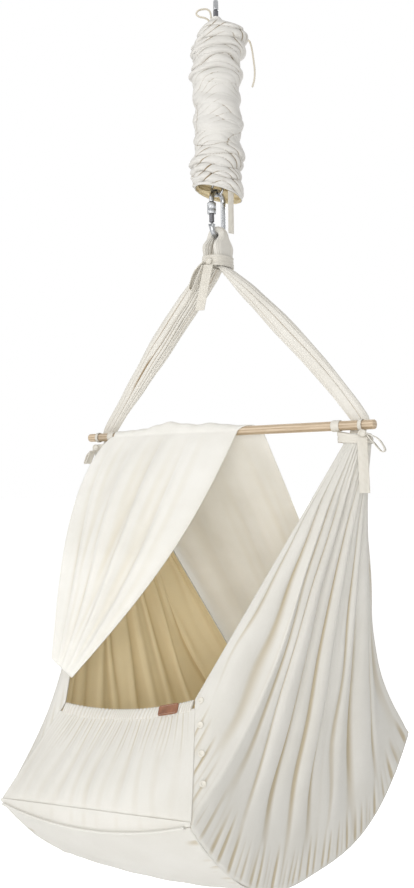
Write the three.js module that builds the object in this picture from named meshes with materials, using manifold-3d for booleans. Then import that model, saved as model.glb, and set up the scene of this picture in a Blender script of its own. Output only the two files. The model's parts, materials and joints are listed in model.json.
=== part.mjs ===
// Hanging baby cradle: a cotton cradle on a wooden spreader bar, hung from an extension spring in
// a gathered sleeve between two screw carabiners. Millimetres, Z up, X along the bar, Y from the
// open front to the back. The origin is where the ceiling hook bears in the top carabiner.
import * as THREE from 'three';
import Module from 'manifold-3d';
import { mergeVertices } from 'three/addons/utils/BufferGeometryUtils.js';

const wasm = await Module();
wasm.setup();

// Clearances and general overruns
const touchGap = 0.4; // left between pieces that touch
const bearingGap = 0.3; // left where one wire bears on another
const cutOverrun = 4; // how far a cutting body runs past what it cuts

// Both screw carabiners
const carabinerLength = 100;
const carabinerWidth = 48;
const carabinerWire = 10;
const gateHingeDrop = 24; // gate pin below the carabiner's middle
const gateNoseRise = 20; // gate tip above the carabiner's middle
const gateTongueWidth = 4.4;
const gatePinDiameter = 3;
const nutLength = 22;
const nutDiameter = 17;
const nutFluteDepth = 0.7;
const topNutDrop = 18; // foot of each nut below its carabiner's middle, unscrewed
const lowerNutDrop = 3;
const topCarabinerTurn = 127; // degrees about the vertical
const lowerCarabinerTurn = 90;

// Eye bolts, end plugs and the spring between the carabiners
const eyeSpread = 301.6; // between the wires that bear in the two carabiners
const eyeInside = 22;
const eyeWire = 5;
const shankDiameter = 8;
const shankLength = 46;
const plugLength = 18;
const plugOffset = 10; // from the eye ring to its plug
const eyeNutWidth = 14;
const eyeNutHeight = 7;
const coilDiameter = 42; // at the middle of the wire
const springWire = 4.6;
const coilPitch = 9;
const coilOverhang = 2; // spring past each plug's outer face
const coilSteps = 8; // straight runs in one turn of the spring
const safetyCordDiameter = 5;

// Gathered sleeve over the spring
const sleeveTopDrop = 38; // below the origin
const sleeveLength = 338;
const sleeveRadius = 50; // where it is widest
const sleeveCloth = 3;
const sleeveSides = 16;
const sleeveNeckAcross = 13.3; // half opening of the neck across the top carabiner
const sleeveNeckAlong = 34.6; // half opening of the neck along it
const sleeveFolds = 7;
const sleeveFoldDepth = 3;
const sleeveHemSlant = 13;
const sleeveRadiusShares = [0, 0.96, 0.98, 0.87, 0.92, 0.9, 0.8, 0.9, 0.87, 0.86, 0.89, 0.92, 0.93, 0.88];
const sleeveLeanShares = [0, 0.24, 0.1, 0, 0, 0, 0, 0.06, 0.06, 0, 0.12, -0.08, 0, 0.04]; // of its radius, sideways
const drawcordDiameter = 3.5;
const drawcordTailStartShare = 0.09; // down the sleeve
const drawcordTail = [[0, 0], [5, 5], [9, 20], [12, 42], [14, 62], [13, 80], [9, 95]]; // out and down
const drawcordLoop = [
  [8.3, -4], [9, 10], [10.6, 24], [16.5, 30.5], [26, 31], [35, 28], [38, 21], [32, 16], [23, 14], [16, 10.5],
  [13.5, 6], [13.3, 1.3],
]; // out and up

// Straps and the tie that gathers them under the lower carabiner
const strapHeight = 379; // from the lower carabiner's bow down to the bar
const loopThickness = 15;
const loopSettle = 1.4; // the saddle bears on the bow this much lower than the bow's wire allows at its sides
const loopSaddleWidth = 18; // inside the carabiner
const loopSpreadWidth = 34; // just below the bow
const loopSpreadDrop = 7;
const loopShoulderWidth = 60;
const loopShoulderDrop = 20;
const loopWaistWidth = 52; // inside the tie band
const loopWaistDrop = 38;
const neckDrop = 61; // foot of the loop below the bow
const neckBandHeight = 21;
const bandCloth = 2.2;
const strapTopX = 15;
const strapWidth = 52; // of the left strap where it is widest
const strapDepth = 50; // of the left strap at the neck
const leftStrapShares = [[0.58, 1], [0.88, 0.8], [1, 0.6], [0.85, 0.4], [0.65, 0.3], [0.58, 0.26]];
const rightStrapShares = [[0.29, 0.68], [0.58, 0.64], [0.73, 0.56], [0.69, 0.4], [0.63, 0.3], [0.58, 0.26]];
const leftStrapBow = 4; // outward from a straight line
const rightStrapBow = 13;
const strapPleats = 4;
const strapPleatShare = 0.2;
const strapBehindBar = 20; // middle of the gathered strap behind the bar's axis
const strapTuck = 27; // strap end below the bar's axis
const strapFootSetBack = 4; // strap end behind the middle of the gather

// Spreader bar
const barLength = 680;
const barDiameter = 17;
const barChamfer = 1.5;
const barShift = -7; // middle of the bar from the hanging axis
const grooveFromEnd = 25;
const grooveWidth = 3;
const grooveDepth = 1;

// Gathered necks of the side panels, one under each end of the bar
const gatherFromBarEnd = 42;
const gatherX = barLength / 2 - gatherFromBarEnd; // from the middle of the bar
const gatherY = 6;
const gatherDrop = 15; // top edge of the panel below the bar's axis
const gatherHalfX = 28;
const gatherHalfY = 17;
const gatherSweep = 125; // degrees each way from straight outwards
const gatherNeck = 19; // straight part inside the tie

// Cradle body
const frontHalfWidth = 207; // at the front seam
const backHalfWidth = 214; // at the back seam
const middleHalfWidth = 190;
const bodyLength = 722; // from the front seam to the back seam
const frontChordShare = 0.4903; // of it
const frontChord = bodyLength * frontChordShare; // from the bar to the front seam
const backChord = bodyLength - frontChord;
const rimDrop = 606; // right end of the seams below the bar
const boatSag = 195; // middle of the long seams below their ends
const crossSag = 26; // middle of the base below the long seams, at the ends
const crossSagMiddleShare = 0.3; // of it half way along
const boatFrontPower = 2.2; // how full the long seams are before and behind the middle
const boatBackPower = 3.1;
const sternDrop = 18; // back ends of the seams below the front ends
const leftSideDrop = 45; // how much lower the left side hangs at both ends
const leftDropMiddleShare = 0.67; // of it half way along
const flapTopHalfWidth = 146;
const flapTopSetBack = 92; // from the front seam to the flap's top edge
const flapTopChord = frontChord - flapTopSetBack;
const flapTopDrop = 445;
const flapTopSag = 15;
const foldRise = 6; // fold line of the front flap above the seam's ends
const casingHeight = 20;
const casingThickness = 7;
const casingGathers = 10;
const casingGatherShare = 0.14;
const cloth = 3; // modelled thickness of the body cloth
const gatheredCloth = 1.6;
const hemExtra = 1.2;
const flapBow = 6; // how far each end flap bellies out
const panelColumns = 30;
const panelRows = 10;
const panelFolds = 7;
const panelFoldDepth = 9;
const cornerSag = 58; // how far the side panels draw in above each corner
const cornerSpanShare = 0.13; // how far along the seam a drawn corner reaches
const flapEdgeShare = 0.16; // part of a panel's lower edge that runs up one flap
const pipingDiameter = 5;
const backPipingTuck = 1; // how far the back piping sits into its seam
const backSeamRise = 1; // foot of the back flap over the base's end

// Mattress
const mattressHeight = 38;
const mattressEdgeHeight = 20;
const mattressMargin = 14; // kept to the seams all round
const mattressGap = 3.3; // over the base
const mattressEndShare = 0.9; // how far it reaches along the base

// Canopy veil
const veilCloth = 2.4;
const veilFromGather = 38;
const veilLeft = gatherX - veilFromGather; // left edge on the bar, left of its middle
const veilFrontRight = 57;
const veilBackRight = 100;
const veilStandOff = 9; // kept from the cloth that it lies over
const veilCrown = 15; // height of its bunched folds over the bar
const veilLeftBow = 51;
const veilRightBow = 43;
const veilBackBow = 40; // how far its back left edge hangs outside the left panel
const veilFoldDepth = 5;
const veilFolds = 3.5;
const veilFootShare = 0.91; // where its right corner meets the left front hem
const veilFootInset = 14; // past the hem
const veilFootRun = 52; // width of its gathered foot
const veilFootRise = 28;
const veilBackShares = [-1.14, 0.92]; // its back foot across the back flap

// Tie tapes
const tapeWidth = 18;
const tapeCloth = 1.8;
const knotDiameter = 15;
const wrapWidth = 16;
const bandSlackX = 0.5; // from the gathered cloth to the tape round it
const bandSlackY = 0.5;
const rightWrapFromGather = 33; // towards the middle of the bar
const leftWrapFromGather = 24;
const rightWrapX = gatherX - rightWrapFromGather;
const leftWrapX = gatherX - leftWrapFromGather;
const outerWrapWidth = 7;
const strapKnotX = 5;
const strapTailLength = 86;
const strapTailSwing = 22; // how far the tail hangs to the left of its knot
const strapTieLoopLength = 50;
const strapTieLoopReach = 34;
const strapTieLoopGap = -0.4; // from the knot's side to the middle of the loop's tape
const strapBandSlackX = 1.3; // from the gathered loop to the band round it
const strapBandSlackY = 4;
const rightKnotFromGather = 26; // towards the bar's end
const rightKnotX = gatherX + rightKnotFromGather;
const rightKnotFront = 17.6; // before the bar's axis
const rightKnotDrop = 15;
const rightTailLength = 96;
const rightLoopLength = 32;
const rightLoopReach = 34;
const rightLoopGap = 0.6; // from the knot's side to the middle of the loop's tape
const leftKnotFromGather = 7;
const leftKnotX = -(gatherX + leftKnotFromGather);
const leftKnotFront = 19.8;
const leftKnotDrop = 22;
const leftLoopLength = 26;
const leftLoopReach = 18;
const leftLoopFront = 8.2; // before the knot
const sleeveTapeHang = 80; // below the hem that it is sewn into
const sleeveTapeSewnShare = 0.95; // down the sleeve, where it is sewn on
const sleeveTapeFacet = 13; // of the sleeve's sides, the one that it lies on
const sleeveTapeWidth = 12;

// Press studs and label
const studDiameter = 11;
const studHeight = 2.4;
const studStands = [0.6, 1.8, 2.2, 0.9]; // each clear of the folded cloth under it
const studInsetShare = 0.035; // of the way from the seam to the bar
const studShares = [0.105, 0.32, 0.565, 0.815]; // down the flap's edge
const labelWidth = 42;
const labelHeight = 18;
const labelThickness = 2;
const labelPlaceShare = 0.65; // across the flap, from the middle to the right

// Places worked out from the sizes above
const wireRadius = carabinerWire / 2;
const eyeRadius = (eyeInside + eyeWire) / 2;
const bearing = wireRadius + bearingGap + eyeWire / 2; // between the middles of two bearing wires
const topCarabinerZ = carabinerWire - carabinerLength / 2;
const upperEyeTopZ = topCarabinerZ - carabinerLength / 2 + wireRadius + bearing;
const lowerEyeFootZ = upperEyeTopZ - eyeSpread;
const lowerBowTopZ = lowerEyeFootZ + bearing;
const lowerCarabinerZ = lowerBowTopZ + wireRadius - carabinerLength / 2;
const strapBowZ = lowerCarabinerZ - carabinerLength / 2 + wireRadius;
const barZ = strapBowZ - strapHeight;
const legX = (carabinerWidth - carabinerWire) / 2;
const rimZ = barZ - rimDrop;
const barRadius = barDiameter / 2;
const sides = [-1, 1];

const vector = (x, y, z) => new THREE.Vector3(x, y, z);
const lerp = THREE.MathUtils.lerp;
const radians = THREE.MathUtils.degToRad;
const part = new THREE.Group();

function material(color, roughness, metalness = 0) {
  return new THREE.MeshStandardMaterial({ color, roughness, metalness });
}

const finishes = {
  steel: material(0xb4b6b8, 0.3, 1),
  darkSteel: material(0x85888b, 0.42, 1),
  springSteel: material(0x8d9093, 0.35, 1),
  cotton: material(0xe5e2db, 0.9),
  veil: material(0xe9e7e2, 0.85),
  tape: material(0xece9e0, 0.9),
  cord: material(0xe4dfd0, 0.9),
  mattress: material(0xefece4, 0.95),
  ash: material(0xc8b496, 0.6),
  leather: material(0x965c46, 0.7),
  stud: material(0xe4dccb, 0.4),
};

function add(name, geometry, finish) {
  const mesh = new THREE.Mesh(geometry, finishes[finish]);
  mesh.name = name;
  part.add(mesh);
  return mesh;
}

// A closed mesh from points and triangles, turned outwards by the sign of its volume.
function closedGeometry(points, triangles) {
  let volume = 0;
  for (const [a, b, c] of triangles) {
    volume += points[a].dot(points[b].clone().cross(points[c]));
  }
  const order = volume > 0 ? triangles : triangles.map(([a, b, c]) => [a, c, b]);
  const geometry = new THREE.BufferGeometry();
  const coordinates = points.flatMap((p) => [p.x, p.y, p.z]);
  geometry.setAttribute('position', new THREE.Float32BufferAttribute(coordinates, 3));
  geometry.setIndex(order.flat());
  return geometry;
}

// A number as it is, or a function's value at a place.
function valueAt(value, u, v) {
  return typeof value === 'function' ? value(u, v) : value;
}

// A cloth of even or varying thickness about a surface of two parameters from 0 to 1, or lifted
// off it. The surface may close on itself along its first parameter.
function clothGeometry(surface, uCount, vCount, thickness, wraps = false, lift = 0) {
  const step = 0.002;
  const normal = vector(0, 0, 0);
  const rows = vCount + 1;
  const columns = wraps ? uCount : uCount + 1;
  const layers = [[], []];
  for (let i = 0; i < columns; i += 1) {
    for (let j = 0; j < rows; j += 1) {
      const u = i / uCount;
      const v = j / vCount;
      const uLow = wraps ? u - step : Math.max(0, u - step);
      const uHigh = wraps ? u + step : Math.min(1, u + step);
      const alongU = surface(uHigh, v).sub(surface(uLow, v));
      const alongV = surface(u, Math.min(1, v + step)).sub(surface(u, Math.max(0, v - step)));
      normal.crossVectors(alongU, alongV).normalize();
      const half = valueAt(thickness, u, v) / 2;
      const middle = surface(u, v).addScaledVector(normal, valueAt(lift, u, v));
      layers[0].push(middle.clone().addScaledVector(normal, half));
      layers[1].push(middle.clone().addScaledVector(normal, -half));
    }
  }
  const size = columns * rows;
  const at = (layer, i, j) => layer * size + (i % columns) * rows + j;
  const triangles = [];
  const quad = (a, b, c, d) => triangles.push([a, b, c], [a, c, d]);
  for (let i = 0; i < uCount; i += 1) {
    for (let j = 0; j < vCount; j += 1) {
      quad(at(0, i, j), at(0, i + 1, j), at(0, i + 1, j + 1), at(0, i, j + 1));
      quad(at(1, i, j), at(1, i, j + 1), at(1, i + 1, j + 1), at(1, i + 1, j));
    }
    quad(at(1, i, 0), at(1, i + 1, 0), at(0, i + 1, 0), at(0, i, 0));
    quad(at(1, i, vCount), at(0, i, vCount), at(0, i + 1, vCount), at(1, i + 1, vCount));
  }
  for (let j = 0; j < vCount && !wraps; j += 1) {
    quad(at(1, 0, j), at(0, 0, j), at(0, 0, j + 1), at(1, 0, j + 1));
    quad(at(1, uCount, j), at(1, uCount, j + 1), at(0, uCount, j + 1), at(0, uCount, j));
  }
  return closedGeometry([...layers[0], ...layers[1]], triangles);
}

// A solid through rings of equally many points, closed by a fan at each end.
function loftGeometry(rings) {
  const count = rings[0].length;
  const points = rings.flat();
  const triangles = [];
  for (let r = 0; r < rings.length - 1; r += 1) {
    for (let k = 0; k < count; k += 1) {
      const next = (k + 1) % count;
      const a = r * count + k;
      const b = r * count + next;
      triangles.push([a, b, b + count], [a, b + count, a + count]);
    }
  }
  const ends = [[rings[0], 0, true], [rings.at(-1), (rings.length - 1) * count, false]];
  for (const [ring, start, flip] of ends) {
    const hub = points.length;
    points.push(ring.reduce((sum, p) => sum.add(p), vector(0, 0, 0)).divideScalar(count));
    for (let k = 0; k < count; k += 1) {
      const a = start + k;
      const b = start + ((k + 1) % count);
      triangles.push(flip ? [hub, b, a] : [hub, a, b]);
    }
  }
  return closedGeometry(points, triangles);
}

// A round bar along a curve.
function wireGeometry(curve, radius, segments, steps) {
  const section = new THREE.Shape();
  for (let k = 0; k < segments; k += 1) {
    const angle = (2 * Math.PI * k) / segments;
    section[k ? 'lineTo' : 'moveTo'](radius * Math.cos(angle), radius * Math.sin(angle));
  }
  section.closePath();
  return new THREE.ExtrudeGeometry(section, { steps, extrudePath: curve, bevelEnabled: false });
}

function cylinder(radius, length, segments, x, y, z, axis = 'z') {
  const geometry = new THREE.CylinderGeometry(radius, radius, length, segments);
  if (axis === 'z') geometry.rotateX(Math.PI / 2);
  if (axis === 'x') geometry.rotateZ(Math.PI / 2);
  return geometry.translate(x, y, z);
}

function block(width, depth, height, x, y, z) {
  return new THREE.BoxGeometry(width, depth, height).translate(x, y, z);
}

function solid(geometry) {
  const bare = geometry.clone();
  bare.deleteAttribute('normal');
  bare.deleteAttribute('uv');
  const merged = mergeVertices(bare);
  return new wasm.Manifold(
    new wasm.Mesh({
      numProp: 3,
      vertProperties: new Float32Array(merged.attributes.position.array),
      triVerts: new Uint32Array(merged.index.array),
    }),
  );
}

function fromSolid(body) {
  const mesh = body.getMesh();
  const geometry = new THREE.BufferGeometry();
  geometry.setAttribute('position', new THREE.Float32BufferAttribute(mesh.vertProperties, 3));
  geometry.setIndex(new THREE.Uint32BufferAttribute(mesh.triVerts, 1));
  return geometry;
}

// Screw carabiner: a bent wire with a fork for the gate at its lower left, its middle at zero.
function carabinerPieces(nutDrop) {
  const bowZ = carabinerLength / 2 - carabinerWidth / 2;
  const path = new THREE.CurvePath();
  const bow = (angle, z) => vector(legX * Math.cos(angle), 0, z + legX * Math.sin(angle));
  class Bow extends THREE.Curve {
    constructor(from, to, z) {
      super();
      Object.assign(this, { from, to, z });
    }

    getPoint(t) {
      return bow(lerp(this.from, this.to, t), this.z);
    }
  }
  path.add(new THREE.LineCurve3(vector(-legX, 0, -gateHingeDrop), vector(-legX, 0, -bowZ)));
  path.add(new Bow(-Math.PI, 0, -bowZ));
  path.add(new THREE.LineCurve3(vector(legX, 0, -bowZ), vector(legX, 0, bowZ)));
  path.add(new Bow(0, Math.PI, bowZ));
  path.add(new THREE.LineCurve3(vector(-legX, 0, bowZ), vector(-legX, 0, gateNoseRise)));
  const knuckle = cylinder(wireRadius, carabinerWire, 12, -legX, 0, -gateHingeDrop, 'y');
  const slotWidth = gateTongueWidth + 2 * touchGap;
  const slotFloor = gateHingeDrop + wireRadius + touchGap;
  const slotTop = cutOverrun + wireRadius - gateHingeDrop;
  const slot = block(
    carabinerWire + cutOverrun, slotWidth, slotTop + slotFloor, -legX, 0, (slotTop - slotFloor) / 2,
  );
  const pinHole = cylinder(
    gatePinDiameter / 2 + touchGap / 2, carabinerWire + cutOverrun, 8, -legX, 0, -gateHingeDrop, 'y',
  );
  const frame = solid(wireGeometry(path, wireRadius, 8, 38)).add(solid(knuckle));
  const shank = gateHingeDrop - wireRadius - touchGap; // foot of the gate's round part
  const rodLength = shank + gateNoseRise - touchGap;
  const rod = cylinder(wireRadius, rodLength, 12, -legX, 0, rodLength / 2 - shank);
  const tongueLength = gateHingeDrop - shank + wireRadius / 2;
  const tongue = block(
    carabinerWire - touchGap, gateTongueWidth, tongueLength, -legX, 0, tongueLength / 2 - gateHingeDrop,
  );
  const tongueEnd = cylinder(wireRadius - touchGap / 2, gateTongueWidth, 12, -legX, 0, -gateHingeDrop, 'y');
  const gate = solid(rod).add(solid(tongue)).add(solid(tongueEnd)).subtract(solid(pinHole));
  return {
    frame: fromSolid(frame.subtract(solid(slot)).subtract(solid(pinHole))),
    gate: fromSolid(gate),
    pin: cylinder(gatePinDiameter / 2, carabinerWire, 8, -legX, 0, -gateHingeDrop, 'y'),
    nut: nutGeometry(nutDrop),
  };
}

// Fluted nut with a plain bore, its foot a given drop below the carabiner's middle.
function nutGeometry(drop) {
  const flutes = 14;
  const outline = new THREE.Shape();
  for (let k = 0; k < 2 * flutes; k += 1) {
    const radius = nutDiameter / 2 - (k % 2 ? nutFluteDepth : 0);
    const angle = (Math.PI * k) / flutes;
    outline[k ? 'lineTo' : 'moveTo'](radius * Math.cos(angle), radius * Math.sin(angle));
  }
  outline.closePath();
  const bore = new THREE.Path();
  bore.absarc(0, 0, wireRadius + touchGap, 0, 2 * Math.PI, true);
  outline.holes.push(bore);
  return new THREE.ExtrudeGeometry(outline, { depth: nutLength, bevelEnabled: false, curveSegments: 14 })
    .translate(-legX, 0, -drop);
}

// An eye bolt, its ring's bearing wire at zero and its shank downwards.
function eyeBoltGeometry() {
  const ring = new THREE.TorusGeometry(eyeRadius, eyeWire / 2, 8, 20).rotateY(Math.PI / 2);
  ring.translate(0, 0, -eyeRadius);
  const ringFoot = 2 * eyeRadius;
  const shank = cylinder(shankDiameter / 2, shankLength, 12, 0, 0, -ringFoot - shankLength / 2);
  return fromSolid(solid(ring).add(solid(shank)));
}

const shankFoot = 2 * eyeRadius + shankLength;
const plugTop = 2 * eyeRadius + plugOffset;
const plugRadius = (coilDiameter / 2) * Math.cos(Math.PI / coilSteps) - springWire / 2 - touchGap;

function plugGeometry() {
  const outline = new THREE.Shape();
  outline.absarc(0, 0, plugRadius, 0, 2 * Math.PI, false);
  const bore = new THREE.Path();
  bore.absarc(0, 0, shankDiameter / 2 + touchGap, 0, 2 * Math.PI, true);
  outline.holes.push(bore);
  return new THREE.ExtrudeGeometry(outline, { depth: plugLength, bevelEnabled: false, curveSegments: 16 })
    .translate(0, 0, -plugTop - plugLength);
}

function eyeNutGeometry() {
  const outline = new THREE.Shape();
  for (let k = 0; k < 6; k += 1) {
    const angle = (Math.PI * k) / 3;
    const corner = [(eyeNutWidth / 2) * Math.cos(angle), (eyeNutWidth / 2) * Math.sin(angle)];
    outline[k ? 'lineTo' : 'moveTo'](...corner);
  }
  outline.closePath();
  const bore = new THREE.Path();
  bore.absarc(0, 0, shankDiameter / 2 + touchGap, 0, 2 * Math.PI, true);
  outline.holes.push(bore);
  return new THREE.ExtrudeGeometry(outline, { depth: eyeNutHeight, bevelEnabled: false, curveSegments: 8 })
    .translate(0, 0, -plugTop - plugLength - touchGap - eyeNutHeight);
}

class Helix extends THREE.Curve {
  constructor(radius, pitch, curls, topZ) {
    super();
    Object.assign(this, { radius, pitch, curls, topZ });
  }

  getPoint(t) {
    const angle = 2 * Math.PI * this.curls * t;
    const z = this.topZ - this.pitch * this.curls * t;
    return vector(this.radius * Math.cos(angle), this.radius * Math.sin(angle), z);
  }
}

// The least gap between a wound wire's turns, measured on points along its middle.
function leastSelfGap(curve, perCurl, curls, wire) {
  const count = perCurl * curls;
  const points = Array.from({ length: count + 1 }, (_, k) => curve.getPoint(k / count));
  let least = Infinity;
  for (let a = 0; a <= count; a += 1) {
    for (let b = a + perCurl / 2; b <= count; b += 1) {
      least = Math.min(least, points[a].distanceTo(points[b]));
    }
  }
  return least - wire;
}

function addCarabiner(prefix, nutDrop, z, turn) {
  const pieces = carabinerPieces(nutDrop);
  const places = [
    ['frame', 'carabiner_frame', 'steel'], ['gate', 'carabiner_gate', 'darkSteel'],
    ['pin', 'gate_pin', 'steel'], ['nut', 'carabiner_nut', 'steel'],
  ];
  for (const [key, name, finish] of places) {
    const mesh = add(`${prefix}_${name}`, pieces[key], finish);
    mesh.position.z = z;
    mesh.rotation.z = turn;
  }
}

function addHanger() {
  const topTurn = radians(topCarabinerTurn);
  const lowerTurn = radians(lowerCarabinerTurn);
  addCarabiner('top', topNutDrop, topCarabinerZ, topTurn);
  addCarabiner('lower', lowerNutDrop, lowerCarabinerZ, lowerTurn);
  const makers = [
    [eyeBoltGeometry, 'eye_bolt', 'steel'], [plugGeometry, 'end_plug', 'darkSteel'],
    [eyeNutGeometry, 'eye_nut', 'steel'],
  ];
  for (const [make, name, finish] of makers) {
    const upper = add(`upper_${name}`, make(), finish);
    upper.position.z = upperEyeTopZ;
    upper.rotation.z = topTurn;
    const mirrored = add(`lower_${name}`, make().rotateX(Math.PI), finish);
    mirrored.position.z = lowerEyeFootZ;
    mirrored.rotation.z = lowerTurn;
  }
  const springTopZ = upperEyeTopZ - plugTop + coilOverhang;
  const springFootZ = lowerEyeFootZ + plugTop - coilOverhang;
  const curls = Math.floor((springTopZ - springFootZ) / coilPitch);
  const pitch = (springTopZ - springFootZ) / curls;
  const helix = new Helix(coilDiameter / 2, pitch, curls, springTopZ);
  add('extension_spring', wireGeometry(helix, springWire / 2, 5, coilSteps * curls), 'springSteel');
  const gap = leastSelfGap(helix, coilSteps, curls, springWire);
  console.log(`extension_spring least gap to itself ${gap.toFixed(2)} mm`);
  const cordTop = upperEyeTopZ - shankFoot - touchGap;
  const cordFoot = lowerEyeFootZ + shankFoot + touchGap;
  const cordMiddle = (cordTop + cordFoot) / 2;
  add('safety_cord', cylinder(safetyCordDiameter / 2, cordTop - cordFoot, 8, 0, 0, cordMiddle), 'cord');
}

// A smooth value at t from 0 to 1 along evenly spaced values.
function along(values, t) {
  const place = THREE.MathUtils.clamp(t, 0, 1) * (values.length - 1);
  const first = Math.min(Math.floor(place), values.length - 2);
  const blend = THREE.MathUtils.smoothstep(place - first, 0, 1);
  return lerp(values[first], values[first + 1], blend);
}

// The direction across the top carabiner, in which the sleeve's drawcord leaves it.
const sleeveTurn = radians(topCarabinerTurn - 90);
const away = vector(Math.cos(sleeveTurn), Math.sin(sleeveTurn), 0);

// Sleeve surface: u runs round it and v from the neck to the hem.
function sleevePoint(u, v) {
  const angle = 2 * Math.PI * u;
  const swell = along(sleeveRadiusShares, v);
  const wandering = 0.22 * Math.sin(angle) + 0.13 * Math.cos(2 * angle);
  const folds = Math.sin(2 * Math.PI * (sleeveFolds * v + wandering));
  const depth = v > 0 ? sleeveFoldDepth * Math.sin(Math.PI * Math.min(1, v + 0.06)) * folds : 0;
  const point = vector(
    (lerp(sleeveNeckAcross, sleeveRadius, swell) + depth) * Math.cos(angle),
    (lerp(sleeveNeckAlong, sleeveRadius, swell) + depth) * Math.sin(angle),
    -sleeveTopDrop - v * (sleeveLength + sleeveHemSlant * Math.cos(angle) * v),
  );
  point.applyAxisAngle(vector(0, 0, 1), sleeveTurn);
  return point.addScaledVector(away, sleeveRadius * along(sleeveLeanShares, v));
}

// A tape along points, its flat side at right angles to a level direction.
function tapeGeometry(points, width, direction, steps) {
  const route = new THREE.CatmullRomCurve3(points);
  const surface = (u, v) => route.getPoint(v).addScaledVector(direction, (u - 0.5) * width);
  return clothGeometry(surface, 2, steps, tapeCloth);
}

// Points of a drooping tape loop that leaves and comes back to its knot.
function loopPoints(knot, reach, drop, spread) {
  const places = [[0, 0, 0], [0.7, 0.35, -1], [1, 0.9, 0], [0.75, 1, 1], [0.35, 0.55, 1], [0, 0.12, 1]];
  return places.map(([out, down, side]) => (
    vector(reach * out + spread * side, 0, drop * down).add(knot)
  ));
}

function addSleeve() {
  add('spring_sleeve', clothGeometry(sleevePoint, sleeveSides, 22, sleeveCloth, true), 'cotton');
  const tailStart = sleevePoint(0, drawcordTailStartShare);
  tailStart.addScaledVector(away, (sleeveCloth + drawcordDiameter) / 2 - touchGap);
  const tail = drawcordTail.map(([out, down]) => (
    tailStart.clone().addScaledVector(away, out).add(vector(0, 0, -down))
  ));
  const cord = (points, steps) => wireGeometry(new THREE.CatmullRomCurve3(points), drawcordDiameter / 2, 8, steps);
  add('drawcord_tail', cord(tail, 12), 'cord');
  const loop = drawcordLoop.map(([out, rise]) => (
    vector(0, 0, rise - sleeveTopDrop).addScaledVector(away, -out)
  ));
  add('drawcord_loop', cord(loop, 16), 'cord');
  const corner = (k, v) => sleevePoint((sleeveTapeFacet + k) / sleeveSides, v);
  const sideways = corner(1, 1).sub(corner(0, 1)).setZ(0).normalize();
  const inward = vector(-sideways.y, sideways.x, 0);
  const sewn = [sleeveTapeSewnShare, 1].map((v) => corner(0, v).lerp(corner(1, v), 0.5));
  const hang = [0.3, 0.7, 1].map((share) => sewn[1].clone().add(vector(0, 0, -share * sleeveTapeHang)));
  const depth = sleeveCloth / 2 + touchGap + tapeCloth / 2;
  const points = [...sewn, ...hang].map((point) => point.addScaledVector(inward, depth));
  add('sleeve_tape', tapeGeometry(points, sleeveTapeWidth, sideways, 8), 'tape');
}

// How far the strap loop keeps off the bow's lowest wire, because the bow curves up beside it.
const bowRise = legX - Math.sqrt(legX ** 2 - (loopSaddleWidth / 2) ** 2);
const loopInner = wireRadius + bowRise + bearingGap - loopSettle;

// Upper part of the straps: a saddle over the carabiner's bow, closed to one neck by the tie.
function loopGeometry() {
  const middle = loopInner + loopThickness / 2;
  const legs = [
    [neckDrop, loopWaistWidth], [loopWaistDrop, loopWaistWidth], [loopShoulderDrop, loopShoulderWidth],
    [loopSpreadDrop, loopSpreadWidth],
  ];
  const stations = legs.map(([drop, width]) => ({ x: -middle, z: -drop, width, angle: 0 }));
  for (const angle of [30, 60, 90, 120, 150]) {
    const turn = radians(angle);
    stations.push({ x: -middle * Math.cos(turn), z: middle * Math.sin(turn), width: loopSaddleWidth, angle });
  }
  for (const [drop, width] of legs.toReversed()) {
    stations.push({ x: middle, z: -drop, width, angle: 180 });
  }
  const rings = stations.map(({ x, z, width, angle }) => {
    const outward = vector(-Math.cos(radians(angle)), 0, Math.sin(radians(angle)));
    return Array.from({ length: 14 }, (_, k) => {
      const around = (2 * Math.PI * k) / 14;
      const thick = Math.sign(Math.sin(around)) * Math.sqrt(Math.abs(Math.sin(around)));
      return vector(x, (Math.cos(around) * width) / 2, strapBowZ + z)
        .addScaledVector(outward, (thick * loopThickness) / 2);
    });
  });
  return loftGeometry(rings);
}

// A gathered strap with lengthwise pleats from the neck down behind the bar into the gather.
function strapGeometry(side, shares, bow) {
  const stations = 12;
  const count = 16;
  const levelEndShare = 0.03;
  const topX = side * strapTopX;
  const topZ = strapBowZ - neckDrop - touchGap;
  const footX = barShift + side * gatherX;
  const outward = vector(side, 0, 1).normalize();
  const route = new THREE.CatmullRomCurve3([
    vector(topX, 0, topZ),
    vector(lerp(topX, footX, 0.34), 0, lerp(topZ, barZ, 0.34)).addScaledVector(outward, bow),
    vector(lerp(topX, footX, 0.7), strapBehindBar / 2, lerp(topZ, barZ, 0.68)).addScaledVector(outward, bow),
    vector(footX - side * touchGap, strapBehindBar, barZ + barDiameter),
    vector(footX, strapBehindBar, barZ),
    vector(footX, gatherY + strapFootSetBack, barZ - strapTuck),
  ]);
  const rings = Array.from({ length: stations + 1 }, (_, r) => {
    const t = r / stations;
    const middle = route.getPointAt(t);
    const tangent = route.getTangentAt(t);
    const wide = t < levelEndShare ? vector(1, 0, 0) : vector(0, 1, 0).cross(tangent).normalize();
    if (wide.x < 0) wide.negate();
    const deep = t < levelEndShare ? vector(0, 1, 0) : tangent.clone().cross(wide).normalize();
    const width = strapWidth * along(shares.map(([wideShare]) => wideShare), t);
    const depth = strapDepth * along(shares.map(([, deepShare]) => deepShare), t);
    return Array.from({ length: count }, (__, k) => {
      const angle = (2 * Math.PI * k) / count;
      const pleat = 1 + strapPleatShare * Math.cos(strapPleats * Math.PI * (1 + Math.cos(angle)));
      return middle.clone()
        .addScaledVector(wide, (Math.cos(angle) * width) / 2)
        .addScaledVector(deep, (Math.sin(angle) * pleat * depth) / 2);
    });
  });
  return loftGeometry(rings);
}

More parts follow.
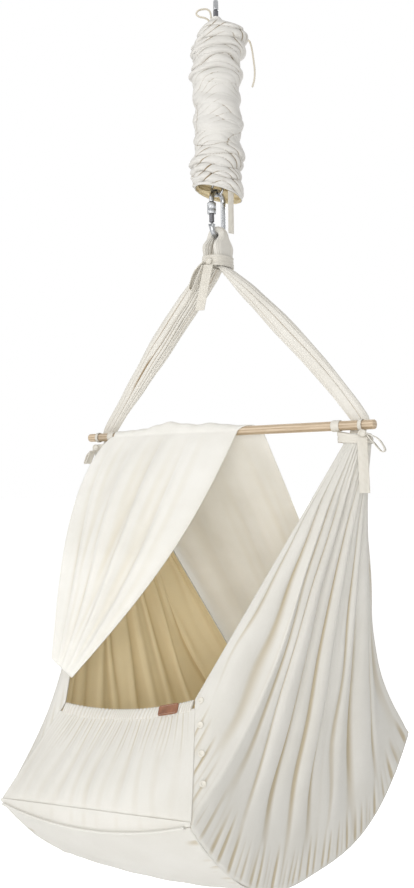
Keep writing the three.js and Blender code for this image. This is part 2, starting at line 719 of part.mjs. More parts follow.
// A rounded band of tape about a middle, its hole stated by two half widths.
function bandGeometry(middle, halfX, halfY) {
  const squareness = 0.6;
  const bent = (value) => Math.sign(value) * Math.abs(value) ** squareness;
  const height = middle.height;
  const surface = (u, v) => {
    const angle = 2 * Math.PI * u;
    const x = (halfX + touchGap + bandCloth / 2) * bent(Math.cos(angle));
    const y = (halfY + touchGap + bandCloth / 2) * bent(Math.sin(angle));
    return vector(middle.x + x, middle.y + y, middle.z + (0.5 - v) * height);
  };
  return clothGeometry(surface, 20, 1, bandCloth, true);
}

// A ring of tape round the bar.
function wrapGeometry(x, width) {
  const radius = barRadius + touchGap + tapeCloth / 2;
  const surface = (u, v) => {
    const angle = 2 * Math.PI * u;
    const offset = (v - 0.5) * width;
    return vector(barShift + x + offset, radius * Math.cos(angle), barZ + radius * Math.sin(angle));
  };
  return clothGeometry(surface, 14, 1, tapeCloth, true);
}

const knotShares = [0.55, 0.31, 0.45]; // half sizes of a knot as parts of its diameter

function knotGeometry(middle) {
  const knot = new THREE.SphereGeometry(knotDiameter, 10, 6).scale(...knotShares);
  return knot.translate(middle.x, middle.y, middle.z);
}

function addStraps() {
  add('strap_loop', loopGeometry(), 'cotton');
  add('left_strap', strapGeometry(-1, leftStrapShares, leftStrapBow), 'cotton');
  add('right_strap', strapGeometry(1, rightStrapShares, rightStrapBow), 'cotton');
  const halfX = loopInner + loopThickness + strapBandSlackX;
  const halfY = loopWaistWidth / 2 + strapBandSlackY;
  const bandZ = strapBowZ - neckDrop + neckBandHeight / 2;
  const band = { x: 0, y: 0, z: bandZ, height: neckBandHeight };
  add('strap_tie_band', bandGeometry(band, halfX, halfY), 'tape');
  const front = -halfY - 2 * touchGap - bandCloth - knotDiameter * knotShares[1];
  const knot = vector(strapKnotX, front, bandZ - neckBandHeight / 8);
  add('strap_tie_knot', knotGeometry(knot), 'tape');
  const under = knotDiameter * knotShares[2] + touchGap;
  const tail = [0, 0.3, 0.7, 1].map((share) => (
    vector(-share * strapTailSwing, 0, -under - share * strapTailLength).add(knot)
  ));
  add('strap_tie_tail', tapeGeometry(tail, tapeWidth, vector(0.9, 0.44, 0).normalize(), 8), 'tape');
  const start = vector(-knotDiameter * knotShares[0] - strapTieLoopGap, -bandCloth, -tapeCloth).add(knot);
  const loop = loopPoints(start, -strapTieLoopReach, -strapTieLoopLength, -tapeCloth);
  add('strap_tie_loop', tapeGeometry(loop, tapeWidth * 0.8, vector(0.2, -1, 0).normalize(), 12), 'tape');
}

function addBar() {
  const half = barLength / 2;
  const profile = [[0, -half], [barRadius - barChamfer, -half], [barRadius, -half + barChamfer]];
  for (const side of sides) {
    const inner = half - grooveFromEnd - grooveWidth;
    const outer = half - grooveFromEnd;
    const [near, far] = side < 0 ? [-outer, -inner] : [inner, outer];
    const floor = barRadius - grooveDepth;
    profile.push([barRadius, near], [floor, near], [floor, far], [barRadius, far]);
  }
  profile.push([barRadius, half - barChamfer], [barRadius - barChamfer, half], [0, half]);
  const points = profile.map(([radius, x]) => new THREE.Vector2(radius, x));
  const bar = new THREE.LatheGeometry(points, 14).rotateZ(-Math.PI / 2).translate(barShift, 0, barZ);
  add('spreader_bar', bar, 'ash');
}

const endHalfWidth = (end) => (end < 0 ? frontHalfWidth : backHalfWidth);
const endChord = (end) => (end < 0 ? frontChord : backChord);

// The base: s runs front to back and t left to right, both -1 to 1.
function basePoint(s, t) {
  const halfWidth = lerp(middleHalfWidth, endHalfWidth(s), s * s);
  const toEnd = s * s;
  const across = crossSag * lerp(crossSagMiddleShare, 1, toEnd) * (1 - t * t);
  const leftDrop = leftSideDrop * lerp(leftDropMiddleShare, 1, Math.min(1, 1.6 * toEnd));
  const boat = boatSag * (1 - Math.abs(s) ** (s < 0 ? boatFrontPower : boatBackPower));
  const stern = s < 0 ? 0 : sternDrop * toEnd;
  const drop = boat + stern + across + (leftDrop * (1 - t)) / 2;
  return vector(barShift + t * halfWidth, s * endChord(s), rimZ - drop);
}

// End flap: t runs across from -1 to 1, h from its fold line or seam to its top edge.
function flapPoint(end, t, h, footRise) {
  const side = (leftSideDrop * (1 - t)) / 2;
  const topZ = barZ - flapTopDrop - side - flapTopSag * (1 - t * t);
  const footZ = footRise === null ? basePoint(end, t).z : rimZ - side + footRise;
  const bow = flapBow * Math.sin(Math.PI * h) * (1 - t * t);
  return vector(
    barShift + t * lerp(endHalfWidth(end), flapTopHalfWidth, h),
    end * (lerp(endChord(end), flapTopChord, h) + bow),
    lerp(footZ, topZ, h),
  );
}

// The side panel's lower edge: up the front flap, along the base and up the back flap.
function panelEdge(side, u) {
  const outside = side * (cloth / 2 + touchGap);
  if (u < flapEdgeShare || u > 1 - flapEdgeShare) {
    const front = u < flapEdgeShare;
    const h = front ? 1 - u / flapEdgeShare : (u - 1 + flapEdgeShare) / flapEdgeShare;
    return flapPoint(front ? -1 : 1, side, h, front ? 0 : -sternDrop).add(vector(outside, 0, 0));
  }
  const s = lerp(-1, 1, (u - flapEdgeShare) / (1 - 2 * flapEdgeShare));
  return basePoint(s, side).add(vector(outside, 0, -cloth / 2));
}

function gatherPoint(side, u) {
  const angle = radians(lerp(-gatherSweep, gatherSweep, u));
  const x = gatherX + gatherHalfX * Math.cos(angle);
  return vector(barShift + side * x, gatherY + gatherHalfY * Math.sin(angle), barZ - gatherDrop);
}

// A side panel: a straight neck, then folds that fan out from it and die out at the seams. Above
// each corner of the base the cloth draws in towards the bar.
function panelPoint(side, u, v) {
  const neckShare = 0.1;
  const fan = Math.max(0, (v - neckShare) / (1 - neckShare));
  const top = gatherPoint(side, u);
  top.z -= gatherNeck * Math.min(1, v / neckShare);
  const point = top.lerp(panelEdge(side, u), fan);
  const toMiddle = u < 0.5 ? 1 : -1;
  const corner = u < 0.5 ? flapEdgeShare : 1 - flapEdgeShare;
  const near = THREE.MathUtils.smoothstep(1 - Math.abs(u - corner) / cornerSpanShare, 0, 1);
  const sag = cornerSag * near * Math.sin(Math.PI * fan ** 1.8);
  const wave = Math.cos(2 * Math.PI * panelFolds * u + 0.7 * Math.sin(4 * Math.PI * u));
  const bell = Math.sin(Math.PI * u) * Math.sin(Math.PI * fan) ** 0.8;
  const fold = panelFoldDepth * bell * Math.min(1, 2.4 * fan) * wave;
  return point.add(vector(0.9 * side * fold, 0.4 * fold * (2 * u - 1) + toMiddle * sag, 0));
}

// The same surface as it lies on the flat faces of the panel's mesh.
function panelFacePoint(side, u, v) {
  const column = Math.floor(u * panelColumns);
  const row = Math.min(panelRows - 1, Math.floor(v * panelRows));
  const at = (i, j) => panelPoint(side, (column + i) / panelColumns, (row + j) / panelRows);
  const across = u * panelColumns - column;
  return at(0, 0).lerp(at(1, 0), across).lerp(at(0, 1).lerp(at(1, 1), across), v * panelRows - row);
}

function panelThickness(u, v) {
  const hem = u === 0 || u === 1 ? hemExtra : 0;
  return lerp(gatheredCloth, cloth, Math.min(1, 1.6 * v)) + hem * Math.min(1, 2 * v);
}

function addPanels() {
  for (const [side, name] of [[-1, 'left'], [1, 'right']]) {
    const surface = (u, v) => panelPoint(side, u, v);
    add(`${name}_side_panel`, clothGeometry(surface, panelColumns, panelRows, panelThickness), 'cotton');
  }
}

function addBase() {
  const margin = 1 - (2 * touchGap) / middleHalfWidth;
  const under = (u, v) => basePoint(lerp(-1, 1, v), lerp(-1, 1, u) * margin);
  add('base_panel', clothGeometry(under, 8, 12, cloth, false, -cloth / 2), 'cotton');
  const widthShare = 1 - mattressMargin / middleHalfWidth;
  const bed = (u, v) => basePoint(lerp(-1, 1, v) * mattressEndShare, lerp(-1, 1, u) * widthShare);
  const height = (u, v) => {
    const crown = Math.sqrt(Math.sin(Math.PI * u) * Math.sin(Math.PI * v));
    return lerp(mattressEdgeHeight, mattressHeight, Math.min(1, 1.3 * crown));
  };
  const lift = (u, v) => mattressGap + height(u, v) / 2;
  add('mattress', clothGeometry(bed, 8, 12, height, false, lift), 'mattress');
}

const flapSlant = Math.hypot(frontChord - flapTopChord, rimDrop - flapTopDrop);
const casingFootShare = 1 - casingHeight / flapSlant;
const flapFootRise = (end) => (end < 0 ? foldRise : null);

// Place and directions on a flap at its casing: along it, outwards and up its slope.
function casingFrame(end, t, h) {
  const step = 0.02;
  const rise = flapFootRise(end);
  const foot = flapPoint(end, t, h, rise);
  const up = flapPoint(end, t, 1, rise).sub(flapPoint(end, t, casingFootShare, rise)).setX(0).normalize();
  const level = flapPoint(end, t + step, h, rise).sub(flapPoint(end, t - step, h, rise)).normalize();
  return { foot, up, level, out: vector(0, end * up.z, -end * up.y) };
}

function casingGeometry(end) {
  const stations = 2 * casingGathers;
  const reach = 1 - (2 * touchGap + 2 * cloth) / flapTopHalfWidth;
  const rings = Array.from({ length: stations + 1 }, (_, r) => {
    const { foot, up, out } = casingFrame(end, lerp(-reach, reach, r / stations), casingFootShare);
    const swell = 1 + casingGatherShare * (r % 2 ? 1 : -1);
    return Array.from({ length: 6 }, (__, k) => {
      const angle = (Math.PI * k) / 3;
      return foot.clone()
        .addScaledVector(up, 2 * touchGap + (casingHeight / 2) * (1 + Math.cos(angle)))
        .addScaledVector(out, (casingThickness / 2) * Math.sin(angle) * swell);
    });
  });
  return loftGeometry(rings);
}

function addFlaps() {
  const reach = 1 - (touchGap + cloth / 2) / flapTopHalfWidth;
  const across = (u) => lerp(-1, 1, u) * reach;
  const apron = (u, v) => {
    const t = across(u);
    const foot = basePoint(-1, t);
    const top = rimZ - (leftSideDrop * (1 - t)) / 2 + foldRise - 2 * touchGap;
    return vector(foot.x, -frontChord - cloth / 2 - touchGap, lerp(foot.z + touchGap, top, v));
  };
  add('front_apron', clothGeometry(apron, 12, 2, cloth), 'cotton');
  const front = (u, v) => flapPoint(-1, across(u), v * casingFootShare, foldRise);
  add('front_flap', clothGeometry(front, 12, 4, cloth), 'cotton');
  const back = (u, v) => (
    flapPoint(1, across(u), v * casingFootShare, null).add(vector(0, 0, (1 - v) * backSeamRise))
  );
  add('back_flap', clothGeometry(back, 12, 4, cloth), 'cotton');
  add('front_elastic_casing', casingGeometry(-1), 'cotton');
  add('back_elastic_casing', casingGeometry(1), 'cotton');
}

// Piping along an end seam of the base, just outside it.
function pipingGeometry(end) {
  const covering = end < 0 ? cloth + touchGap : cloth - backPipingTuck;
  const outward = end * (pipingDiameter / 2 + covering + touchGap);
  const points = Array.from({ length: 9 }, (_, k) => {
    const t = lerp(-1, 1, k / 8) * (1 - pipingDiameter / middleHalfWidth);
    return basePoint(end, t).add(vector(0, outward, 0));
  });
  return wireGeometry(new THREE.CatmullRomCurve3(points), pipingDiameter / 2, 6, 14);
}

function studGeometry() {
  const radius = studDiameter / 2;
  const half = studHeight / 2;
  const profile = [[0, -half], [radius, -half], [radius, 0], [0.6 * radius, half], [0, 0.4 * half]];
  return new THREE.LatheGeometry(profile.map(([r, h]) => new THREE.Vector2(r, h)), 8);
}

function addTrim() {
  add('front_piping', pipingGeometry(-1), 'cotton');
  add('back_piping', pipingGeometry(1), 'cotton');
  studShares.forEach((share, k) => {
    const step = 0.004;
    const u = flapEdgeShare * share;
    const v = 1 - studInsetShare;
    const middle = panelFacePoint(1, u, v);
    const alongU = panelFacePoint(1, u + step, v).sub(middle);
    const alongV = panelFacePoint(1, u, v + step).sub(middle);
    const normal = alongU.cross(alongV).normalize();
    if (normal.y > 0) normal.negate();
    const stud = add(`right_stud_${k + 1}`, studGeometry(), 'stud');
    stud.quaternion.setFromUnitVectors(vector(0, 1, 0), normal);
    const stand = panelThickness(u, v) / 2 + studStands[k] + studHeight / 2;
    stud.position.copy(middle).addScaledVector(normal, stand);
  });
  const { foot, up, level, out } = casingFrame(-1, labelPlaceShare, casingFootShare);
  const proud = (casingThickness / 2) * (1 + casingGatherShare) + 2 * touchGap + labelThickness / 2;
  const label = add('leather_label', new THREE.BoxGeometry(labelWidth, labelThickness, labelHeight), 'leather');
  label.position.copy(foot).addScaledVector(up, touchGap + casingHeight / 2).addScaledVector(out, proud);
  const lean = new THREE.Matrix4().makeBasis(level, out.clone().negate(), level.clone().cross(out.clone().negate()));
  label.quaternion.setFromRotationMatrix(lean);
}

// Tapes that tie the gathered cloth of one side to the bar.
function addTie(side, name, wrapX, place) {
  const band = {
    x: barShift + side * gatherX,
    y: gatherY,
    z: barZ - gatherDrop - touchGap - wrapWidth / 2,
    height: wrapWidth,
  };
  const halfX = gatherHalfX + gatheredCloth / 2 + bandSlackX;
  const halfY = gatherHalfY + gatheredCloth / 2 + bandSlackY;
  add(`${name}_tie_band`, bandGeometry(band, halfX, halfY), 'tape');
  add(`${name}_tie_inner_wrap`, wrapGeometry(side * wrapX, wrapWidth), 'tape');
  const groove = barLength / 2 - grooveFromEnd - grooveWidth / 2;
  add(`${name}_tie_outer_wrap`, wrapGeometry(side * groove, outerWrapWidth), 'tape');
  const knot = place.add(vector(barShift, 0, barZ));
  add(`${name}_tie_knot`, knotGeometry(knot), 'tape');
  return knot;
}

function addTies() {
  const under = knotDiameter * knotShares[2] + touchGap;
  const right = addTie(1, 'right', rightWrapX, vector(rightKnotX, -rightKnotFront, -rightKnotDrop));
  const tail = [0, 0.3, 0.7, 1].map((share) => (
    vector(2 * share * tapeCloth, 0, -under - share * rightTailLength).add(right)
  ));
  add('right_tie_tail', tapeGeometry(tail, tapeWidth, away, 8), 'tape');
  const loopStart = vector(knotDiameter * knotShares[0] + rightLoopGap, 0, -touchGap).add(right);
  const rightLoop = loopPoints(loopStart, rightLoopReach, -rightLoopLength, tapeCloth);
  add('right_tie_loop', tapeGeometry(rightLoop, tapeWidth * 0.8, vector(-0.3, 1, 0).normalize(), 12), 'tape');
  const left = addTie(-1, 'left', leftWrapX, vector(leftKnotX, -leftKnotFront, -leftKnotDrop));
  const leftStart = vector(0, -leftLoopFront, -under).add(left);
  const leftLoop = loopPoints(leftStart, -leftLoopReach, -leftLoopLength, -tapeCloth);
  add('left_tie_loop', tapeGeometry(leftLoop, tapeWidth * 0.8, vector(0.2, 1, 0).normalize(), 12), 'tape');
}

// The veil: u runs from its left to its right edge, v from its back foot over the bar to its front.
function veilPoint(u, v) {
  const backEnd = 1 / 3;
  const frontStart = 2 / 3;
  const radius = barRadius + touchGap + veilCloth / 2;
  const backX = barShift + lerp(-veilLeft, veilBackRight, u);
  const frontX = barShift + lerp(-veilLeft, veilFrontRight, u);
  if (v >= backEnd && v <= frontStart) {
    const share = (v - backEnd) / (frontStart - backEnd);
    const bunch = veilCrown * Math.sin(Math.PI * u) ** 2 * (0.75 + 0.25 * Math.cos(5 * Math.PI * u));
    const turn = Math.PI * share;
    return vector(
      lerp(backX, frontX, share), radius * Math.cos(turn), barZ + (radius + bunch) * Math.sin(turn),
    );
  }
  const fold = veilFoldDepth * Math.cos(2 * Math.PI * veilFolds * u);
  if (v < backEnd) {
    const t = 1 - v / backEnd;
    const foot = flapPoint(1, lerp(...veilBackShares, u), 1, null).add(vector(0, veilStandOff, 0));
    const point = vector(backX, radius, barZ).lerp(foot, t);
    const bow = veilBackBow * (1 - u) ** 2;
    return point.add(vector(-bow, fold + veilStandOff, 0).multiplyScalar(Math.sin(Math.PI * t)));
  }
  const t = (v - frontStart) / (1 - frontStart);
  const foot = gatherPoint(-1, 0).lerp(panelEdge(-1, 0), veilFootShare);
  foot.add(vector(veilFootInset - veilFootRun * (1 - u), -veilStandOff, veilFootRise * (1 - u)));
  const point = vector(frontX, -radius, barZ).lerp(foot, t);
  const leftBow = veilLeftBow * (1 - u) ** 2 * Math.sin(Math.PI * t ** 0.6);
  const rightBow = veilRightBow * u * u * Math.sin(Math.PI * t);
  const folds = fold * Math.sin(Math.PI * t) * Math.sin(Math.PI * u);
  return point.add(vector(rightBow - leftBow, -folds - veilStandOff * Math.sin(Math.PI * t), 0));
}

function addVeil() {
  add('canopy_veil', clothGeometry(veilPoint, 12, 21, veilCloth), 'veil');
}

addHanger();
addSleeve();
addStraps();
addBar();
addPanels();
addBase();
addFlaps();
addTrim();
addTies();
addVeil();

export default part;
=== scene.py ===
"""Hanging baby cradle: the looks of its cotton, tapes, ash bar and steel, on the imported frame.

All sizes below are in millimetres and are turned into metres when a mesh is written. X runs along
the spreader bar, Y from the open front to the back and Z up; the origin is where the ceiling hook
bears in the top carabiner.
"""
import json
import math

import bmesh
import bpy
import numpy as np
from mathutils import Matrix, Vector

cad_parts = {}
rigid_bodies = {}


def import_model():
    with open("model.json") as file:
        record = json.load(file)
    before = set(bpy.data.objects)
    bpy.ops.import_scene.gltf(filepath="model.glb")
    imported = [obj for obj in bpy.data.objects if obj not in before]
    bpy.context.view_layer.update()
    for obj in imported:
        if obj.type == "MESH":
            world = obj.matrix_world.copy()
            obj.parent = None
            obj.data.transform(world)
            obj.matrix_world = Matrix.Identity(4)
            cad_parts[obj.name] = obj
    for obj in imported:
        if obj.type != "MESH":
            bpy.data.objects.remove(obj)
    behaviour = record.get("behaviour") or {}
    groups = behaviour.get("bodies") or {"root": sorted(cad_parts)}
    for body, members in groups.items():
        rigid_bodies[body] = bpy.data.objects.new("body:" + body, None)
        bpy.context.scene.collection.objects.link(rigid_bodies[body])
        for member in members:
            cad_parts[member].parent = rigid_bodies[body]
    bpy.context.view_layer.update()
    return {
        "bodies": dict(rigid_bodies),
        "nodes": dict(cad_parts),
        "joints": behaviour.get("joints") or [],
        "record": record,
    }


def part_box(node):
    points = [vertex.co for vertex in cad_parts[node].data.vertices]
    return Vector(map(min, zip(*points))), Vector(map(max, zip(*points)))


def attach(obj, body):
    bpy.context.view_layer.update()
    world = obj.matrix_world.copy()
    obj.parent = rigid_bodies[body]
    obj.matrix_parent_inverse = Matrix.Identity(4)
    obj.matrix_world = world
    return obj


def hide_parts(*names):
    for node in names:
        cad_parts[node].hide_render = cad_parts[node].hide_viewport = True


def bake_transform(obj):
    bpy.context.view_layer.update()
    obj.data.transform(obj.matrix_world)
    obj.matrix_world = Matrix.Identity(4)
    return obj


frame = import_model()

TAU = 2 * math.pi
BAR_SHIFT, BAR_Z, RIM_Z = -7.0, -840.0, -1446.0
BAR_HALF, BAR_RADIUS, GROOVE_X = 340.0, 8.5, 313.5
TOP_Z, LOWER_Z = -40.0, -416.0  # middles of the two carabiners
WIRE, BEND = 5.0, 19.0  # a carabiner's wire and the bend of its middle line
STRAP_BOW_Z = -461.0  # where the strap loop bears
NECK_DROP = 61.0  # foot of the strap loop below its bow
TOUCH = 0.4  # how far pieces that touch sink into each other
GATHER_X, GATHER_HALF_X, GATHER_HALF_Y = 298.0, 28.0, 17.0  # gathered ends of the panels on the bar
FRONT_Y, BACK_Y = 354.0, 368.0
FRONT_HALF, BACK_HALF, MIDDLE_HALF = 207.0, 214.0, 190.0
BOAT_SAG, STERN_DROP, LEFT_DROP = 195.0, 18.0, 45.0
FLAP_TOP_HALF, FLAP_TOP_Y, FLAP_TOP_DROP, FLAP_TOP_SAG = 146.0, 262.0, 445.0, 15.0
APRON_RISE = 6.0
PAD_LENGTH_SHARE, PAD_WIDTH_SHARE = 0.9, 1 - 14 / 190  # of the base under it
QUILT_ROWS = 8
KNOT_HALVES = (8.25, 4.65, 6.75)
TAPE_WIDTH, TAIL_WIDTH = 14.4, 18.0
HUNG_PATH_POINTS = 3000  # before a path's points are spaced evenly


# ---------------------------------------------------------------- small numpy helpers
def lerp(a, b, t):
    """The value a share t of the way from a to b."""
    return a + (b - a) * t


def smooth(t):
    """Smoothstep: 3t^2 - 2t^3 with t kept to 0..1."""
    t = np.clip(t, 0, 1)
    return t * t * (3 - 2 * t)


def along(values, t):
    """Evenly spaced values joined by smoothsteps, read at t from 0 to 1."""
    values = np.asarray(values, float)
    place = np.clip(t, 0, 1) * (len(values) - 1)
    first = np.minimum(np.floor(place).astype(int), len(values) - 2)
    return lerp(values[first], values[first + 1], smooth(place - first))


def stack(x, y, z):
    """Three arrays as one array of points."""
    return np.stack(np.broadcast_arrays(x, y, z), -1).astype(float)


def waves(a, b, seed, count=7, low=1.0, high=5.0):
    """Soft uneven ripple between about -1 and 1: a sum of slanted sines with set places and turns."""
    rng = np.random.RandomState(seed)
    total = 0
    for _ in range(count):
        turn, speed, start = rng.uniform(0, TAU), rng.uniform(low, high), rng.uniform(0, TAU)
        total = total + np.sin(TAU * speed * (a * math.cos(turn) + b * math.sin(turn)) + start)
    return total / math.sqrt(count)


def valleys(u, places, widths, depths):
    """Sum of narrow bell shaped hollows across u: each -depth * exp(-((u - place) / width)^2)."""
    total = 0
    for place, width, depth in zip(places, widths, depths):
        total = total - depth * np.exp(-(((u - place) / width) ** 2))
    return total


def rooted(x, share):
    """x with its sign kept and its size raised to a power; below 1 this squares off a cosine."""
    return np.sign(x) * np.abs(x) ** share


def run_of(path):
    """The distance from the start of a path to each of its points."""
    return np.concatenate([[0], np.cumsum(np.linalg.norm(np.diff(path, axis=0), axis=1))])


def catmull(points, count):
    """A smooth path through the points: uniform Catmull-Rom with its ends mirrored."""
    p = np.asarray(points, float)
    p = np.vstack([2 * p[0] - p[1], p, 2 * p[-1] - p[-2]])
    t = np.linspace(0, len(p) - 3, count)
    k = np.minimum(t.astype(int), len(p) - 4)
    f = (t - k)[:, None]
    a, b, c, d = p[k], p[k + 1], p[k + 2], p[k + 3]
    return 0.5 * (2 * b + (c - a) * f + (2 * a - 5 * b + 4 * c - d) * f**2 + (3 * b - a - 3 * c + d) * f**3)


def unit(v):
    """Vectors made one long."""
    return v / np.maximum(np.linalg.norm(v, axis=-1, keepdims=True), 1e-12)


# ---------------------------------------------------------------- meshes
def corners_of(mesh):
    """The point number of each face corner."""
    numbers = np.zeros(len(mesh.loops), np.int32)
    mesh.loops.foreach_get("vertex_index", numbers)
    return numbers


def points_of(mesh):
    """The points of a mesh in metres."""
    flat = np.zeros(3 * len(mesh.vertices), np.float32)
    mesh.vertices.foreach_get("co", flat)
    return flat.reshape(-1, 3).astype(float)


def write_mesh(name, points, quads, tris, material_ids, finishes, uv=None, values=None):
    """One mesh object from whole arrays of points in mm, faces, their finishes and point values."""
    mesh = bpy.data.meshes.new(name)
    faces = [*map(tuple, quads), *map(tuple, tris)]
    mesh.from_pydata([tuple(p) for p in np.asarray(points) * 0.001], [], faces)
    for finish in finishes:
        mesh.materials.append(finish)
    if material_ids is not None:
        mesh.polygons.foreach_set("material_index", np.asarray(material_ids, np.int32))
    mesh.polygons.foreach_set("use_smooth", np.ones(len(faces), bool))
    if uv is not None:
        layer = mesh.uv_layers.new(name="cloth")
        layer.data.foreach_set("uv", np.asarray(uv, np.float32)[corners_of(mesh)].ravel())
    for key, value in (values or {}).items():
        layer = mesh.attributes.new(key, "FLOAT", "POINT")
        layer.data.foreach_set("value", np.asarray(value, np.float32).ravel())
    mesh.update()
    obj = bpy.data.objects.new(name, mesh)
    bpy.context.scene.collection.objects.link(obj)
    return obj


def grid_normals(p, wraps=False):
    """Unit normals of a grid of points: the cross product of its two central differences."""
    if wraps:
        du = np.roll(p, -1, 0) - np.roll(p, 1, 0)
    else:
        du = np.gradient(p, axis=0)
    return unit(np.cross(du, np.gradient(p, axis=1)))


def hollowness(p, n, wraps=False, reach=3):
    """How far each point of a grid lies under the middle of its neighbours, along its normal, in mm."""
    total = 0
    for step in range(1, reach + 1):
        if wraps:
            near = np.roll(p, step, 0) + np.roll(p, -step, 0)
        else:
            padded = np.pad(p, ((step, step), (0, 0), (0, 0)), "edge")
            near = padded[: len(p)] + padded[2 * step:]
        total = total + ((near / 2 - p) * n).sum(-1)
    return total / reach


def twin_quads(index, size):
    """Quads over a grid of point numbers, and over its twin size numbers later, which looks back."""
    a, b, c, d = index[:-1, :-1], index[1:, :-1], index[1:, 1:], index[:-1, 1:]
    return np.stack([a, b, c, d], -1).reshape(-1, 4), np.stack([a, d, c, b], -1).reshape(-1, 4) + size


def cloth(name, p, thickness, finish, inner_finish=None, wraps=False, facing=None, fold_shade_scale=1.0):
    """A closed sheet of cloth: the grid p moved half its thickness each way along its normals.

    The side that looks along facing is the outer one; a ring looks away from its own middle. Its UV
    map holds distances along the cloth in metres, and 'hollow' holds how deep in a fold a point lies,
    which the woven finishes paint as shade.
    """
    n = grid_normals(p, wraps)
    look = p - p.mean(0, keepdims=True) if facing is None else np.asarray(facing, float)
    if (n * look).sum(-1).mean() < 0:
        p, n = p[::-1], -n[::-1]
        if np.ndim(thickness) == 2:
            thickness = thickness[::-1]
    rows, cols = p.shape[:2]
    half = np.broadcast_to(np.asarray(thickness, float) / 2, (rows, cols))[..., None]
    points = np.concatenate([(p + n * half).reshape(-1, 3), (p - n * half).reshape(-1, 3)])
    index = np.arange(rows * cols).reshape(rows, cols)
    if wraps:
        index = np.vstack([index, index[:1]])
    size = rows * cols
    top, low = twin_quads(index, size)

    def side(line):
        return np.stack([line[:-1], line[1:], line[1:] + size, line[:-1] + size], -1)

    rims = [side(index[::-1, 0]), side(index[:, -1])]
    if not wraps:
        rims += [side(index[0, :]), side(index[-1, ::-1])]
    rims = np.concatenate(rims)
    quads = np.concatenate([top, low, rims])
    # The inner faces take the second finish, which paints light coming through the cloth.
    ids = np.concatenate([np.zeros(len(top)), np.ones(len(low)) * (inner_finish is not None), np.zeros(len(rims))])
    step_u = np.linalg.norm(np.diff(p, axis=0), axis=-1).mean(1)
    step_v = np.linalg.norm(np.diff(p, axis=1), axis=-1).mean(0)
    u = np.concatenate([[0], np.cumsum(step_u)]) * 0.001
    v = np.concatenate([[0], np.cumsum(step_v)]) * 0.001
    uv = np.stack(np.meshgrid(u, v, indexing="ij"), -1).reshape(-1, 2)
    # Painted shade: these fold depths, scaled, darken the cloth's colour in the woven finishes.
    deep = fold_shade_scale * hollowness(p, n, wraps)
    values = {"hollow": np.concatenate([deep.ravel(), -deep.ravel()])}
    finishes = [finish] if inner_finish is None else [finish, inner_finish]
    obj = write_mesh(name, points, quads, [], ids, finishes, np.vstack([uv, uv]), values)
    obj["area"] = float(sheet_area(p, wraps))
    return obj


def sheet_area(p, wraps=False):
    """Area of a grid in square metres: half the cross product of each cell's diagonals, summed."""
    if wraps:
        p = np.concatenate([p, p[:1]])
    one, two = p[1:, 1:] - p[:-1, :-1], p[1:, :-1] - p[:-1, 1:]
    return np.linalg.norm(np.cross(one, two), axis=-1).sum() / 2 * 1e-6


def loft(name, rings, finish, closed=False, values=None):
    """A solid through rings of points (rings x points x 3), capped by a fan at each end."""
    rings = np.asarray(rings, float)
    count, size = rings.shape[:2]
    index = np.arange(count * size).reshape(count, size)
    index = np.hstack([index, index[:, :1]])
    if closed:
        index = np.vstack([index, index[:1]])
    quads = np.stack([index[:-1, :-1], index[:-1, 1:], index[1:, 1:], index[1:, :-1]], -1).reshape(-1, 4)
    points = rings.reshape(-1, 3)
    tris = np.zeros((0, 3), int)
    if not closed:
        hub = len(points)
        points = np.vstack([points, rings[0].mean(0), rings[-1].mean(0)])
        first, last = index[0], index[-1]
        tris = np.vstack([
            np.stack([np.full(size, hub), first[1:], first[:-1]], -1),
            np.stack([np.full(size, hub + 1), last[:-1], last[1:]], -1),
        ])
    if signed_volume(points, quads, tris) < 0:
        quads, tris = quads[:, ::-1], tris[:, ::-1]
    u = np.tile(np.arange(size) / size, count)
    steps = np.linalg.norm(np.diff(rings.mean(1), axis=0), axis=-1)
    v = np.repeat(np.concatenate([[0], np.cumsum(steps)]) * 0.001, size)
    around = np.linalg.norm(np.diff(rings, axis=1), axis=-1).sum(1).mean() * 0.001
    uv = np.stack([u * around, v], -1)
    uv = np.vstack([uv, np.zeros((len(points) - len(uv), 2))])
    full = {}
    for key, value in (values or {}).items():
        full[key] = np.concatenate([np.ravel(value), np.zeros(len(points) - np.size(value))])
    return write_mesh(name, points, quads, tris, None, [finish], uv, full)


def signed_volume(points, quads, tris):
    """Six times the volume that the faces enclose, positive when they point outwards."""
    points = np.asarray(points) - np.asarray(points).mean(0)
    total = 0
    for faces in (quads[:, [0, 1, 2]], quads[:, [0, 2, 3]], tris):
        a, b, c = points[faces[:, 0]], points[faces[:, 1]], points[faces[:, 2]]
        total += (a * np.cross(b, c)).sum()
    return total


def path_frames(path, level=None):
    """Unit tangents and two cross directions along a path, kept steady by a level direction."""
    tangent = unit(np.gradient(path, axis=0))
    if level is None:
        side = [unit(np.cross(tangent[0], [0.31, 0.22, 0.93]))]
        for t in tangent[1:]:
            side.append(unit(side[-1] - t * (side[-1] @ t)))
        side = np.array(side)
    else:
        side = unit(np.asarray(level, float) - tangent * (tangent @ np.asarray(level, float))[:, None])
    return tangent, side, np.cross(tangent, side)


def circles(path, side, other, radius, sides):
    """A ring of points round each point of a path, in the plane of its two cross directions."""
    angle = np.arange(sides) * TAU / sides
    return path[:, None] + radius[..., None] * (
        np.cos(angle)[None, :, None] * side[:, None] + np.sin(angle)[None, :, None] * other[:, None])


def tube(name, path, radius, finish, sides=20, twist=0.0, lay=0.0, strands=3, closed=False):
    """A round piece carried along a path. With twist, its radius swells by that share on strands
    that wind round it once every lay mm: r * (1 + twist * cos(strands * (angle - turn)))."""
    tangent, side, other = path_frames(path)
    angle = np.arange(sides) * TAU / sides
    radius = np.broadcast_to(np.asarray(radius, float), (len(path),))[:, None]
    turn = TAU * run_of(path)[:, None] / lay if lay else 0
    swell = np.cos(strands * (angle[None] - turn)) * np.ones((len(path), 1))
    rings = circles(path, side, other, radius * (1 + twist * swell), sides)
    # Painted shade: the grooves between the strands get 'hollow' values that darken the cord's colour.
    return loft(name, rings, finish, closed, {"hollow": -swell * 0.4 if twist else swell * 0})


